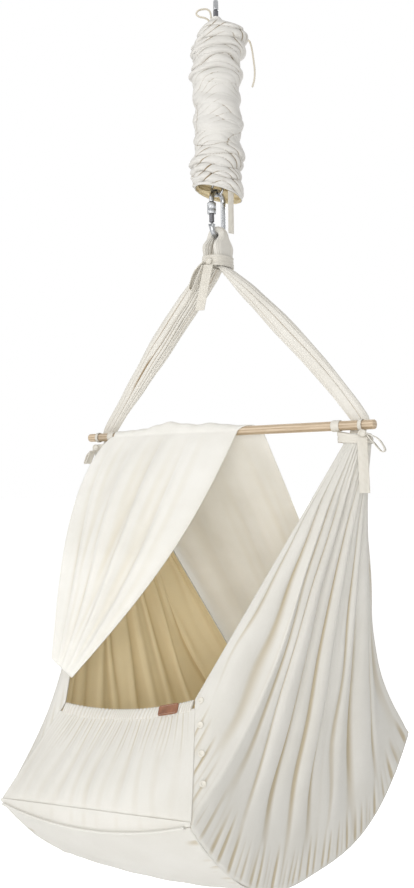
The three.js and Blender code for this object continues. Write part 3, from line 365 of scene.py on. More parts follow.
def weld(obj, reach):
    """Points that coincide, as at the pole of a turned piece, become one, so no face there is empty."""
    shell = bmesh.new()
    shell.from_mesh(obj.data)
    bmesh.ops.remove_doubles(shell, verts=shell.verts, dist=reach)
    shell.to_mesh(obj.data)
    shell.free()
    return obj


def turned(name, profile, finish, centre, axis_matrix=None, sides=48, flutes=0, depth=0.0, hole=False):
    """A turned piece: the profile (radius, height) carried round Z, with flutes cut into its outside
    where its radius is largest; with a hole the profile closes on itself."""
    profile = np.asarray(profile, float)
    angle = np.arange(sides) * TAU / sides
    r = profile[:, :1] * np.ones((1, sides))
    if flutes:
        outer = (profile[:, :1] > profile[:, 0].max() - 0.4)
        r = r - outer * depth * (0.5 - 0.5 * np.cos(flutes * angle))[None]
    rings = np.stack([r * np.cos(angle), r * np.sin(angle), profile[:, 1:] * np.ones((1, sides))], -1)
    if axis_matrix is not None:
        rings = rings @ np.asarray(axis_matrix).T
    return weld(loft(name, rings + np.asarray(centre, float), finish, closed=hole), 1e-7)


def join(name, *objs):
    """Several closed shells of one finish as one object."""
    points, quads, tris, uvs, values, start = [], [], [], [], [], 0
    for obj in objs:
        mesh = obj.data
        points.append(points_of(mesh) * 1000)
        for face in mesh.polygons:
            corner = [start + k for k in face.vertices]
            (quads if len(corner) == 4 else tris).append(corner)
        uv = np.zeros((len(mesh.vertices), 2))
        if mesh.uv_layers:
            flat = np.zeros(len(mesh.loops) * 2, np.float32)
            mesh.uv_layers[0].data.foreach_get("uv", flat)
            uv[corners_of(mesh)] = flat.reshape(-1, 2)
        uvs.append(uv)
        deep = np.zeros(len(mesh.vertices), np.float32)
        if "hollow" in mesh.attributes:
            mesh.attributes["hollow"].data.foreach_get("value", deep)
        values.append(deep)
        start += len(mesh.vertices)
    finish = objs[0].data.materials[0]
    for obj in objs:
        bpy.data.objects.remove(obj)
    quads, tris = np.array(quads).reshape(-1, 4), np.array(tris).reshape(-1, 3)
    return write_mesh(name, np.vstack(points), quads.astype(int), tris.astype(int), None, [finish],
                      np.vstack(uvs), {"hollow": np.concatenate(values)})


def finish_piece(obj, body, slot, *nodes):
    """Rides a piece on its body and hides the CAD nodes that it stands for; its slot is not used."""
    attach(obj, body)
    if nodes:
        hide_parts(*nodes)
    return obj


# ---------------------------------------------------------------- materials
def new_material(name):
    """A node material with its Principled shader, both returned."""
    material = bpy.data.materials.new(name)
    material.use_nodes = True
    return material, material.node_tree, material.node_tree.nodes["Principled BSDF"]


def node(tree, kind, **values):
    """One node with its values set: a name with an underscore sets an input of that name."""
    made = tree.nodes.new(kind)
    for key, value in values.items():
        if key.startswith("in_"):
            made.inputs[key[3:].replace("_", " ")].default_value = value
        else:
            setattr(made, key, value)
    return made


def ramp(tree, low, high, colours):
    """A colour ramp between two colours from low to high."""
    made = tree.nodes.new("ShaderNodeValToRGB")
    made.color_ramp.elements[0].position, made.color_ramp.elements[1].position = low, high
    made.color_ramp.elements[0].color, made.color_ramp.elements[1].color = colours
    return made


def bumped(tree, shader, height, strength, distance=0.0003):
    """Sets a shader's bump from a height."""
    bump = node(tree, "ShaderNodeBump", in_Strength=strength, in_Distance=distance)
    tree.links.new(height, bump.inputs["Height"])
    tree.links.new(bump.outputs[0], shader.inputs["Normal"])


def multiplied(tree, one, other):
    """The product of two colours."""
    mix = node(tree, "ShaderNodeMix", data_type="RGBA", blend_type="MULTIPLY")
    mix.inputs["Factor"].default_value = 1
    tree.links.new(one, mix.inputs["A"])
    tree.links.new(other, mix.inputs["B"])
    return mix.outputs["Result"]


def clouded(name, low, high, colours, rough, **noise):
    """A material whose colour runs between two tones over soft noise, with what its maker needs next."""
    material, tree, shader = new_material(name)
    place = node(tree, "ShaderNodeTexCoord")
    cloud = node(tree, "ShaderNodeTexNoise", **noise)
    tree.links.new(place.outputs["Object"], cloud.inputs["Vector"])
    tone = ramp(tree, low, high, colours)
    tree.links.new(cloud.outputs["Fac"], tone.inputs[0])
    tree.links.new(tone.outputs[0], shader.inputs["Base Color"])
    shader.inputs["Roughness"].default_value = rough
    return material, tree, shader, place, cloud


def direct_rays(tree):
    """1 for a ray from the camera and for one that gloss or glass passes on, else 0."""
    paths = tree.nodes.new("ShaderNodeLightPath")
    seen = [node(tree, "ShaderNodeMath", operation="ADD", use_clamp=True) for _ in range(2)]
    tree.links.new(paths.outputs["Is Camera Ray"], seen[0].inputs[0])
    tree.links.new(paths.outputs["Is Glossy Ray"], seen[0].inputs[1])
    tree.links.new(seen[0].outputs[0], seen[1].inputs[0])
    tree.links.new(paths.outputs["Is Transmission Ray"], seen[1].inputs[1])
    return seen[1].outputs[0]


def srgb(r, g, b):
    """A display colour from 0 to 255 as a linear colour with alpha."""
    c = np.array([r, g, b]) / 255
    c = np.where(c <= 0.04045, c / 12.92, ((c + 0.055) / 1.055) ** 2.4)
    return (*c, 1.0)


def woven(name, light, deep, threads=1300.0, slub=0.35, fold_shade_gain=1.1, thin=0.0, relief=0.25):
    """Plain woven cotton. Two crossed thread waves and a stretched slub noise make the bump and a
    faint colour change, cloudy noise varies its tone at random, and shade is painted into the folds:
    points deep in a fold turn towards the deep colour, a warmer, darker painted shade."""
    material, tree, shader = new_material(name)
    link = tree.links.new
    uv = node(tree, "ShaderNodeUVMap", uv_map="cloth")
    warp, weft = (node(tree, "ShaderNodeTexWave", bands_direction=way, in_Scale=threads * TAU / 20,
                       in_Distortion=0.8, in_Detail=1.0) for way in "XY")
    for wave in (warp, weft):
        link(uv.outputs[0], wave.inputs["Vector"])
    stretch = node(tree, "ShaderNodeMapping")
    stretch.inputs["Scale"].default_value = (260, 2400, 1)
    slubs = node(tree, "ShaderNodeTexNoise", in_Scale=1.0, in_Detail=3.0)
    link(uv.outputs[0], stretch.inputs["Vector"])
    link(stretch.outputs[0], slubs.inputs["Vector"])
    place = node(tree, "ShaderNodeTexCoord")
    cloud = node(tree, "ShaderNodeTexNoise", in_Scale=9.0, in_Detail=5.0, in_Roughness=0.6)
    link(place.outputs["Object"], cloud.inputs["Vector"])
    threads_sum = node(tree, "ShaderNodeMath", operation="ADD")
    link(warp.outputs["Fac"], threads_sum.inputs[0])
    link(weft.outputs["Fac"], threads_sum.inputs[1])
    slub_scale = node(tree, "ShaderNodeMath", operation="MULTIPLY_ADD")
    link(slubs.outputs["Fac"], slub_scale.inputs[0])
    slub_scale.inputs[1].default_value = slub * 4
    link(threads_sum.outputs[0], slub_scale.inputs[2])
    # Painted shade: each point's 'hollow' value mixes the light colour towards the deep one, a warmer, darker shade
    # for the folds.
    fold_shade_mask = node(tree, "ShaderNodeAttribute", attribute_name="hollow")
    gain = node(tree, "ShaderNodeMath", operation="MULTIPLY", use_clamp=True)
    link(fold_shade_mask.outputs["Fac"], gain.inputs[0])
    gain.inputs[1].default_value = fold_shade_gain
    mix = node(tree, "ShaderNodeMix", data_type="RGBA")
    link(gain.outputs[0], mix.inputs["Factor"])
    mix.inputs["A"].default_value, mix.inputs["B"].default_value = light, deep
    shade = ramp(tree, 0.3, 0.7, ((0.93, 0.925, 0.91, 1), (1, 1, 1, 1)))
    link(cloud.outputs["Fac"], shade.inputs[0])
    tint = multiplied(tree, mix.outputs["Result"], shade.outputs[0])
    fleck = ramp(tree, 0.35, 0.75, ((0.955, 0.95, 0.94, 1), (1, 1, 1, 1)))
    link(slubs.outputs["Fac"], fleck.inputs[0])
    final = multiplied(tree, tint, fleck.outputs[0])
    link(final, shader.inputs["Base Color"])
    bumped(tree, shader, slub_scale.outputs[0], relief)
    shader.inputs["Roughness"].default_value = 0.92
    shader.inputs["Sheen Weight"].default_value = 0.12
    shader.inputs["Sheen Roughness"].default_value = 0.5
    shader.inputs["Specular IOR Level"].default_value = 0.2
    if thin:
        glow = node(tree, "ShaderNodeBsdfTranslucent")
        blend = node(tree, "ShaderNodeMixShader", in_Fac=thin)
        link(final, glow.inputs["Color"])
        link(shader.outputs[0], blend.inputs[1])
        link(glow.outputs[0], blend.inputs[2])
        link(blend.outputs[0], tree.nodes["Material Output"].inputs["Surface"])
    return material


def steel_finish(name, colour, rough, grain):
    """Plated steel: a metal whose roughness and bump come from a fine drawn noise. The same noise
    darkens its colour in drawn streaks, which are partly grain and partly a painted reflection of dark surroundings.
    """
    material, tree, shader = new_material(name)
    place = node(tree, "ShaderNodeTexCoord")
    stretch = node(tree, "ShaderNodeMapping")
    stretch.inputs["Scale"].default_value = grain
    noise = node(tree, "ShaderNodeTexNoise", in_Scale=60.0, in_Detail=5.0)
    tree.links.new(place.outputs["Object"], stretch.inputs["Vector"])
    tree.links.new(stretch.outputs[0], noise.inputs["Vector"])
    tone = ramp(tree, 0.25, 0.8, (tuple(c * 0.78 for c in colour[:3]) + (1,), colour))
    tree.links.new(noise.outputs["Fac"], tone.inputs[0])
    tree.links.new(tone.outputs[0], shader.inputs["Base Color"])
    rougher = node(tree, "ShaderNodeMapRange")
    rougher.inputs["To Min"].default_value, rougher.inputs["To Max"].default_value = rough * 0.75, rough * 1.3
    tree.links.new(noise.outputs["Fac"], rougher.inputs["Value"])
    tree.links.new(rougher.outputs[0], shader.inputs["Roughness"])
    bumped(tree, shader, noise.outputs["Fac"], 0.2, 0.0002)
    shader.inputs["Metallic"].default_value = 1.0
    return material


def ash_finish():
    """Sanded ash: long grain bands along X bent by noise, with fine open pores."""
    material, tree, shader = new_material("light sanded ash")
    place = node(tree, "ShaderNodeTexCoord")
    stretch = node(tree, "ShaderNodeMapping")
    stretch.inputs["Scale"].default_value = (1.6, 26, 26)
    bands = node(tree, "ShaderNodeTexWave", wave_type="RINGS", rings_direction="X", in_Scale=2.2,
                 in_Distortion=4.0, in_Detail=3.0)
    pores_map = node(tree, "ShaderNodeMapping")
    pores_map.inputs["Scale"].default_value = (30, 900, 900)
    pores = node(tree, "ShaderNodeTexNoise", in_Scale=1.0, in_Detail=2.0)
    link = tree.links.new
    link(place.outputs["Object"], stretch.inputs["Vector"])
    link(stretch.outputs[0], bands.inputs["Vector"])
    link(place.outputs["Object"], pores_map.inputs["Vector"])
    link(pores_map.outputs[0], pores.inputs["Vector"])
    tone = ramp(tree, 0.1, 0.9, (srgb(184, 163, 137), srgb(209, 191, 166)))
    link(bands.outputs["Fac"], tone.inputs[0])
    dark = ramp(tree, 0.38, 0.5, ((0.80, 0.76, 0.70, 1), (1, 1, 1, 1)))
    link(pores.outputs["Fac"], dark.inputs[0])
    link(multiplied(tree, tone.outputs[0], dark.outputs[0]), shader.inputs["Base Color"])
    bumped(tree, shader, pores.outputs["Fac"], 0.3)
    shader.inputs["Roughness"].default_value = 0.55
    return material


def leather_finish():
    """Smooth brown leather: cell shaped grain for the bump, cloudy colour and a slightly dry surface."""
    material, tree, shader, place, _ = clouded(
        "brown label leather", 0.3, 0.75, (srgb(112, 72, 50), srgb(146, 98, 70)), 0.6, in_Scale=90.0, in_Detail=4.0)
    grain = node(tree, "ShaderNodeTexVoronoi", in_Scale=900.0)
    tree.links.new(place.outputs["Object"], grain.inputs["Vector"])
    bumped(tree, shader, grain.outputs["Distance"], 0.4)
    return material


def stud_finish():
    """Cream moulded press stud: faintly cloudy plastic, half matt."""
    material, tree, shader, _, cloud = clouded(
        "cream press stud", 0.3, 0.7, (srgb(208, 203, 191), srgb(216, 212, 202)), 0.55, in_Scale=220.0, in_Detail=3.0)
    bumped(tree, shader, cloud.outputs["Fac"], 0.1, 0.0002)
    return material


# The second colour of each woven finish is painted shade, mixed in where a point lies deep in a fold.
COTTON = woven("undyed body cotton", srgb(219, 217, 211), srgb(190, 178, 154), fold_shade_gain=0.8)
# Painted light: the inner faces of the cotton sheets get this brighter, warmer colour, standing in for light that
# shines through the cloth into the dim inside.
INNER_COTTON_PAINTED_LIGHT = woven("inner cotton with painted light", srgb(250, 236, 200), srgb(228, 208, 164), fold_shade_gain=0.6)
PLEATED = woven("pleated strap cotton", srgb(221, 218, 211), srgb(146, 124, 92), fold_shade_gain=0.9, relief=0.05)
SLEEVE = woven("gathered sleeve cotton", srgb(225, 223, 219), srgb(142, 122, 88), fold_shade_gain=1.5)
VEIL = woven("thin canopy voile", srgb(249, 248, 244), srgb(226, 218, 198), threads=1700.0, slub=0.2, thin=0.22)
TAPE = woven("folded cotton tape", srgb(220, 216, 207), srgb(182, 170, 146), threads=1900.0)
CORD = woven("twisted cotton cord", srgb(222, 215, 200), srgb(176, 162, 134), threads=2100.0)
PAD = woven("quilted mattress cotton", srgb(224, 219, 207), srgb(190, 178, 154))
# Painted reflection: the satin and spring steel colours are set darker than bright plated steel, standing in for
# darker surroundings in their reflections.
STEEL = steel_finish("satin nickel steel", (0.44, 0.45, 0.46, 1), 0.26, (1, 1, 8))
DARK_STEEL = steel_finish("dark satin steel", (0.16, 0.16, 0.17, 1), 0.38, (1, 1, 8))
SPRING_STEEL = steel_finish("drawn spring steel", (0.45, 0.45, 0.46, 1), 0.34, (6, 6, 1))
ASH = ash_finish()
LEATHER = leather_finish()
STUD = stud_finish()


# ---------------------------------------------------------------- camera
def place_camera():
    """The fitted camera: 37.3 degrees round from the front, 2.3 degrees up and rolled by half a degree."""
    turn, rise, tilt = (math.radians(a) for a in (37.3, 2.3, -0.5))
    level = np.array([-math.sin(turn), math.cos(turn), 0])
    side = np.array([math.cos(turn), math.sin(turn), 0])
    up = np.array([0, 0, 1.0])
    ahead = level * math.cos(rise) + up * math.sin(rise)
    upright = up * math.cos(rise) - level * math.sin(rise)
    right = side * math.cos(tilt) + upright * math.sin(tilt)
    top = upright * math.cos(tilt) - side * math.sin(tilt)
    camera = bpy.data.objects.new("camera", bpy.data.cameras.new("camera"))
    bpy.context.scene.collection.objects.link(camera)
    matrix = np.eye(4)
    matrix[:3, 0], matrix[:3, 1], matrix[:3, 2] = right, top, -ahead
    matrix[:3, 3] = (1.0822, -1.4611, -0.9365)
    camera.matrix_world = Matrix(matrix.tolist())
    camera.data.lens = 941.7 / 888 * 36
    camera.data.sensor_width = 36
    bpy.context.scene.camera = camera


place_camera()

# ---------------------------------------------------------------- sleeve and its cords
SLEEVE_TURN = math.radians(37)
AWAY = np.array([math.cos(SLEEVE_TURN), math.sin(SLEEVE_TURN), 0])
SLEEVE_RADII = [0, 0.96, 0.98, 0.87, 0.92, 0.9, 0.8, 0.9, 0.87, 0.86, 0.89, 0.92, 0.93, 0.88]
SLEEVE_LEANS = [0, 0.24, 0.1, 0, 0, 0, 0, 0.06, 0.06, 0, 0.12, -0.08, 0, 0.04]


def sleeve_points(u, v, fine=1.0):
    """The gathered sleeve: an oval neck that swells to a round tube, bunched in uneven rings whose
    depth is large near both ends and small in the smoother band between. Each ridge hangs over the
    hollow below it by 3 mm times the share that it stands out."""
    angle = TAU * u
    swell = along(SLEEVE_RADII, v)
    wander = 0.22 * np.sin(angle) + 0.13 * np.cos(2 * angle)
    folds = np.sin(TAU * (7 * v + wander))
    end = np.where(v > 0, np.sin(math.pi * np.minimum(1, v + 0.06)), 0)
    depth = 3.0 * end * folds
    calm = smooth((v - 0.30) / 0.08) * (1 - smooth((v - 0.72) / 0.08))
    loose = (1 - 0.72 * calm) * smooth(v / 0.05)
    bend = 0.5 * np.sin(angle + 9 * v) + 0.35 * np.sin(2 * angle - 14 * v + 1) + 0.2 * np.sin(3 * angle + 23 * v)
    ring = 2 * np.abs(np.sin(math.pi * (15 * v + 0.55 * bend))) ** 0.55 - 1.3
    ring2 = 2 * np.abs(np.sin(math.pi * (24 * v - 0.8 * np.sin(2 * angle + 1) - 0.9 * bend + 0.3))) ** 0.6 - 1.3
    fading = 0.72 + 0.28 * np.sin(2 * angle + 13 * v) * np.sin(3 * angle - 21 * v + 2)
    fine_folds = loose * fading * (5.4 * ring + 2.6 * ring2)
    hang = 3.0 * loose * fading * ring * (v < 0.985)
    dent = 2 * np.abs(np.sin(math.pi * (3 * u + 2.1 * v + 0.4 * bend))) ** 0.5 - 1.4
    fine_folds = fine_folds + calm * (1.0 * dent + 0.5 * np.sin(5 * angle + 3 * bend + 30 * v))
    depth = depth + fine * fine_folds * np.where(v > 0.985, 0.3, 1)
    along_leg = (lerp(34.6, 50.0, swell) + depth) * np.sin(angle)
    across_leg = (lerp(13.3, 50.0, swell) + depth) * np.cos(angle)
    z = -38.0 - v * (338.0 + 13.0 * np.cos(angle) * v) - fine * hang * smooth(v / 0.08)
    c, s = math.cos(SLEEVE_TURN), math.sin(SLEEVE_TURN)
    lean = 50.0 * along(SLEEVE_LEANS, v)
    return stack(across_leg * c - along_leg * s + AWAY[0] * lean,
                 across_leg * s + along_leg * c + AWAY[1] * lean, z)


def make_sleeve():
    """The sleeve, its draw cord and the flat tape sewn inside its hem."""
    u, v = np.meshgrid(np.arange(144) / 144, np.linspace(0, 1, 301), indexing="ij")
    grid, meeting = sleeve_points(u, v), 60  # the column where the neck ends
    hood = cloth("spring_sleeve_neck", grid[:, : meeting + 1], 1.6, SLEEVE, INNER_COTTON_PAINTED_LIGHT, wraps=True)
    sleeve = cloth("spring_sleeve_cloth", grid[:, meeting:], 1.6, SLEEVE, INNER_COTTON_PAINTED_LIGHT, wraps=True)
    for piece in (hood, sleeve):
        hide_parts("spring_sleeve")
    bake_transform(hood)
    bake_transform(sleeve)

    start = sleeve_points(np.array(0.0), np.array(0.09), 0.0) + AWAY * 2.85
    tail_route = [(0, 0), (5, 5), (9, 20), (12, 42), (14, 62), (13, 80), (9, 95)]
    tail = catmull([start + AWAY * out + np.array([0, 0, -down]) for out, down in tail_route], 70)
    loop_route = [(8.3, -4), (9, 10), (10.6, 24), (16.5, 30.5), (26, 31), (35, 28), (38, 21), (32, 16),
                  (23, 14), (16, 10.5), (13.5, 6), (13.3, 1.3)]
    loop = catmull([np.array([0, 0, rise - 38.0]) - AWAY * out for out, rise in loop_route], 120)
    for name, path, end, body in (("drawcord_tail", tail, "knot", "hanger"),
                                  ("drawcord_loop", loop, "object", "top_carabiner")):
        cord = tube(name + "_cord", path, 1.75, CORD, 18, twist=0.09, lay=11.0)
        if body == "hanger":
            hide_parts(name)
            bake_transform(cord)
        else:
            finish_piece(cord, body, "cord", name)

    corner = [sleeve_points(np.array(k / 16), np.array([0.95, 1.0]), 0.0) for k in (13, 14)]
    sideways = unit((corner[1][1] - corner[0][1]) * [1, 1, 0])
    inward = np.array([-sideways[1], sideways[0], 0])
    sewn = [lerp(corner[0][k], corner[1][k], 0.5) for k in (0, 1)]
    hang = [sewn[1] - np.array([0, 0, 80.0 * share]) for share in (0.3, 0.7, 1)]
    path = catmull([p + inward * 2.8 for p in [*sewn, *hang]], 60)
    ribbon("sleeve_tape_ribbon", path, 12.0, sideways, "lower_plug", ("sleeve_tape",))


def ribbon(name, path, width, across, body, nodes, thickness=1.2, curl=0.5, seed=3):
    """A flat tape: its middle line widened across a level direction, with folded edges, a faint
    twist and a soft bow over its width."""
    across = unit(np.asarray(across, float))
    a = np.linspace(-0.5, 0.5, 11)
    tangent = unit(np.gradient(path, axis=0))
    n = unit(np.cross(tangent, across))
    share = np.linspace(0, 1, len(path))
    bow = curl * (np.cos(TAU * a)[None] + 1) * np.sin(math.pi * share)[:, None]
    wobble = 0.35 * waves(share[:, None] * 1.5, a[None], seed)
    grid = path[:, None] + (a[None] * width)[..., None] * across + (bow + wobble * 0.6)[..., None] * n[:, None]
    edge = 1 + 0.35 * (np.abs(a) > 0.38)
    piece = cloth(name, grid, thickness * edge[None] * np.ones((len(path), 1)), TAPE,
                  facing=(0, -1, 0))
    return finish_piece(piece, body, "tape", *nodes)


make_sleeve()


# ---------------------------------------------------------------- steel pieces
def about_z(turn):
    """A turn about Z in degrees as a matrix."""
    c, s = math.cos(math.radians(turn)), math.sin(math.radians(turn))
    return np.array([[c, -s, 0], [s, c, 0], [0, 0, 1.0]])


def arc(centre_z, start, stop, count):
    """Points of the bow of a carabiner, on its middle line."""
    angle = np.radians(np.linspace(start, stop, count))
    return stack(BEND * np.cos(angle), 0 * angle, centre_z + BEND * np.sin(angle))


def cheek(sign):
    """One cheek of the gate's fork: a D shaped plate with a round foot, from the slot to the outside."""
    angle = np.radians(np.linspace(-180, 0, 17))
    outline = np.concatenate([
        np.stack([-BEND + WIRE * np.cos(angle), -24 + WIRE * np.sin(angle)], -1),
        np.array([[-14, -22.5], [-24, -22.5]]),
    ])
    rings = []
    for y, inset in ((2.6, 0.3), (2.75, 0), (4.6, 0), (5.0, 0.5)):
        middle = outline.mean(0)
        p = middle + (outline - middle) * (1 - inset / 6)
        rings.append(stack(p[:, 0], np.full(len(p), sign * y), p[:, 1]))
    return np.array(rings)


def make_carabiner(prefix, z, turn, nut_drop, bodies):
    """A screw carabiner: bent round wire with a forked foot, its gate, hinge pin and fluted nut."""
    spin = about_z(turn)
    lift = np.array([0, 0, z])

    def place(p):
        return p @ spin.T + lift

    leg = np.linspace(0, 1, 12)[:, None]
    path = np.vstack([
        lerp(np.array([-BEND, 0, -29.2]), np.array([-BEND, 0, -26.2]), leg)[:2],
        arc(-26, 180, 360, 40),
        lerp(np.array([BEND, 0, -25.0]), np.array([BEND, 0, 25.0]), leg),
        arc(26, 0, 180, 40),
        lerp(np.array([-BEND, 0, 25.0]), np.array([-BEND, 0, 20.3]), leg[::2]),
    ])
    path = path[1:]
    tangent, side, other = path_frames(path, (0, 1, 0))
    radius = np.full((len(path), 1), WIRE)
    radius[-1] = WIRE - 0.5
    rings = circles(path, side, other, radius, 28)
    # The wire's foot ends under the fork, whose cheeks reach past the gate's tongue.
    shells = [loft("wire", place(rings), STEEL)]
    shells += [loft("cheek", place(cheek(sign)), STEEL) for sign in (-1, 1)]
    finish_piece(join(prefix + "_carabiner_wire", *shells), bodies[0], "steel", prefix + "_carabiner_frame")
    pin = [(0, -5.3), (1.9, -5.3), (2.2, -5.05), (1.4, -4.95), (1.4, 4.95), (2.2, 5.05), (1.9, 5.3), (0, 5.3)]
    to_y = spin @ np.array([[1, 0, 0], [0, 0, 1], [0, -1, 0.0]])
    made = turned(prefix + "_gate_rivet", pin, STEEL, place(np.array([-BEND, 0, -24.0])), to_y, 24)
    finish_piece(made, bodies[0], "steel", prefix + "_gate_pin")
    gate = [(0, -28.6), (1.3, -28.4), (2.1, -27.0), (2.15, -20.5), (3.0, -19.2), (4.6, -18.6), (5, -18.0)]
    gate += [(5, z_) for z_ in np.linspace(-17.0, 18.4, 40)] + [(4.7, 19.2), (4.2, 19.6), (0, 19.6)]
    gate = np.array(gate)
    thread = (gate[:, 1] > -16) & (gate[:, 1] < 18)
    gate[thread, 0] -= 0.25 * (np.arange(thread.sum()) % 2)
    made = turned(prefix + "_gate_rod", gate, DARK_STEEL, place(np.array([-BEND, 0, 0])), spin, 32)
    finish_piece(made, bodies[1], "gate_steel", prefix + "_carabiner_gate")
    foot = -nut_drop
    nut = [(5.4, foot), (7.7, foot), (8.4, foot + 0.8), (8.4, foot + 9), (8.05, foot + 9.4), (8.05, foot + 10),
           (8.4, foot + 10.4), (8.4, foot + 21.2), (7.7, foot + 22), (5.4, foot + 22)]
    made = turned(prefix + "_screw_nut", nut, STEEL, place(np.array([-BEND, 0, 0])), spin, 112, 28, 0.55, True)
    finish_piece(made, bodies[2], "steel", prefix + "_carabiner_nut")


def make_hanger():
    """The spring between its two plugs, with an eye bolt and nut at each end and a safety cord."""
    for prefix, body, plug_body, z, sign, turn in (
        ("upper", "hanger", "hanger", -77.2, 1, 127), ("lower", "lower_eye", "lower_plug", -378.8, -1, 90)):
        spin = about_z(turn) @ np.diag([1.0, sign, sign])
        centre = np.array([0, 0, z])
        angle = np.linspace(0, TAU, 64, endpoint=False)
        ring = stack(0 * angle, 13.5 * np.sin(angle), -13.5 + 13.5 * np.cos(angle)) @ spin.T + centre
        eye = closed_ring("eye", ring, 2.5, spin @ np.array([1.0, 0, 0]))
        z_ = [-26.5, -27.5, *np.linspace(-44, -72, 57), -72.6, -73]
        r_ = [3.6, 4.0, *(4.0 - 0.3 * (np.arange(57) % 2)), 3.6, 0]
        shank = turned("shank", [(0, -25.6), *zip(r_, z_)], STEEL, centre, spin, 32)
        finish_piece(join(prefix + "_eye_and_shank", eye, shank), body, "steel", prefix + "_eye_bolt")
        plug = [(4.4, -37), (16.6, -37), (18.0, -38.2), (18.0, -53.8), (16.6, -55), (4.4, -55)]
        made = turned(prefix + "_spring_plug", plug, DARK_STEEL, centre, spin, 48, hole=True)
        finish_piece(made, plug_body, "gate_steel", prefix + "_end_plug")
        top, foot = -55.5, -62.3
        nut = [(4.4, foot), (6.3, foot), (6.95, foot + 0.7), (6.95, top - 0.7), (6.3, top), (4.4, top)]
        made = turned(prefix + "_hexagon_nut", nut, STEEL, centre, spin, 48, 6, 0.9, True)
        finish_piece(made, body, "steel", prefix + "_eye_nut")
    top, foot = -112.2, -343.8
    turns = 25
    t = np.linspace(0, 1, 25 * 40 + 1)
    coil = tube("wound_spring", stack(21 * np.cos(TAU * turns * t), 21 * np.sin(TAU * turns * t),
                                      lerp(top, foot, t)), 2.3, SPRING_STEEL, 12)
    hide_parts("extension_spring")
    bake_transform(coil)
    line = lerp(np.array([0, 0, -150.6]), np.array([0, 0, -305.4]), np.linspace(0, 1, 160)[:, None])
    safety = tube("plaited_safety_cord", line, 2.4, CORD, 20, twist=0.08, lay=14.0, strands=4)
    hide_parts("safety_cord")
    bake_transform(safety)


def closed_ring(name, path, radius, level):
    """A round wire carried round a closed path."""
    tangent = unit(np.roll(path, -1, 0) - np.roll(path, 1, 0))
    side = np.broadcast_to(level, path.shape)
    other = np.cross(tangent, side)
    rings = circles(path, side, other, np.full((len(path), 1), radius), 20)
    return loft(name, rings, STEEL, closed=True)


make_carabiner("top", TOP_Z, 127, 18, ("top_carabiner", "top_gate", "top_nut"))
make_carabiner("lower", LOWER_Z, 90, 3, ("lower_carabiner", "lower_gate", "lower_nut"))
make_hanger()


# ---------------------------------------------------------------- straps and their tie
def gathered_ring(path, wide, deep, widths, depths, pleats, seed, around=216, power=0.72):
    """A gathered strip rolled round its own middle into a rounded oblong section. Each pleat is
    (share of the way round, width, depth as a share of the half depth): a hollow that is steep on one
    side and gentle on the other, that wanders and grows or fades along the strip."""
    share = (np.arange(around) / around)[:, None]
    t = np.linspace(0, 1, len(path))[None]
    cut = 0
    for k, (place, width, depth) in enumerate(pleats):
        offset = (share - place - 0.010 * np.sin(TAU * (0.7 * t + 0.31 * k) + seed) + 0.5) % 1 - 0.5
        hollow = np.exp(-((offset / np.where(offset > 0, width, 2.4 * width)) ** 2))
        cut = cut + depth * hollow * (0.72 + 0.28 * np.sin(TAU * (0.6 * t + 0.43 * k) + 2 * seed))
    soft = 0.022 * np.sin(TAU * 5 * share + 1.4 * np.sin(2.3 * t + seed)) + 0.012 * np.sin(TAU * 9 * share - 1.9 * t)
    angle = TAU * (share + 0.018 * np.sin(TAU * 0.8 * t + seed) + 0.008 * np.sin(TAU * 1.9 * t + 2 * seed))
    shrink = 1 - cut - soft
    x = rooted(np.cos(angle), power) * widths[None] / 2 * lerp(1, shrink, 0.6)
    y = rooted(np.sin(angle), power) * depths[None] / 2 * shrink
    return path[None] + x[..., None] * wide[None] + y[..., None] * deep[None]


def strap_route(side, bow):
    """The middle line of a strap: from the neck, bowed outwards, behind the bar and into the gather."""
    top = np.array([side * 15.0, 0, STRAP_BOW_Z - NECK_DROP - TOUCH])
    foot_x = BAR_SHIFT + side * GATHER_X
    out = np.array([side, 0, 1]) / math.sqrt(2)
    return [
        top,
        np.array([lerp(top[0], foot_x, 0.34), 0, lerp(top[2], BAR_Z, 0.34)]) + out * bow,
        np.array([lerp(top[0], foot_x, 0.7), 10, lerp(top[2], BAR_Z, 0.68)]) + out * bow,
        np.array([foot_x - side * TOUCH, 20, BAR_Z + GATHER_HALF_Y]),
        np.array([foot_x, 20, BAR_Z]),
        np.array([foot_x, 10, BAR_Z - 27.0]),
    ]


def even(path, count):
    """The same path with its points evenly spaced along it."""
    run = run_of(path)
    return np.stack([np.interp(np.linspace(0, run[-1], count), run, path[:, k]) for k in range(3)], -1)


def make_strap(side, name, shares, bow, pleats, seed):
    """One gathered strap from the neck to the bar."""
    path = even(catmull(strap_route(side, bow), 6000), 170)
    t = np.linspace(0, 1, len(path))
    tangent = unit(np.gradient(path, axis=0))
    wide = unit(np.cross(np.array([0, 1.0, 0]), tangent))
    wide = wide * np.sign(wide[:, :1])
    wide = unit(lerp(np.array([1.0, 0, 0]), wide, smooth(t / 0.06)[:, None]))
    deep = unit(np.cross(tangent, wide))
    deep = deep * np.sign(deep[:, 1:2])
    widths = 52.0 * along([w for w, _ in shares], t) - 1.2
    depths = 50.0 * along([d for _, d in shares], t) - 1.2
    grid = gathered_ring(path, wide, deep, widths, depths, pleats, seed)
    strap = cloth(name + "_cloth", grid, 1.2, PLEATED, wraps=True, fold_shade_scale=1.6)
    return finish_piece(strap, "cradle", "cotton", name)


LOOP_INSIDE = WIRE + (BEND - math.sqrt(BEND**2 - 9**2)) + 0.3 - 1.4  # from the bow to the loop's legs


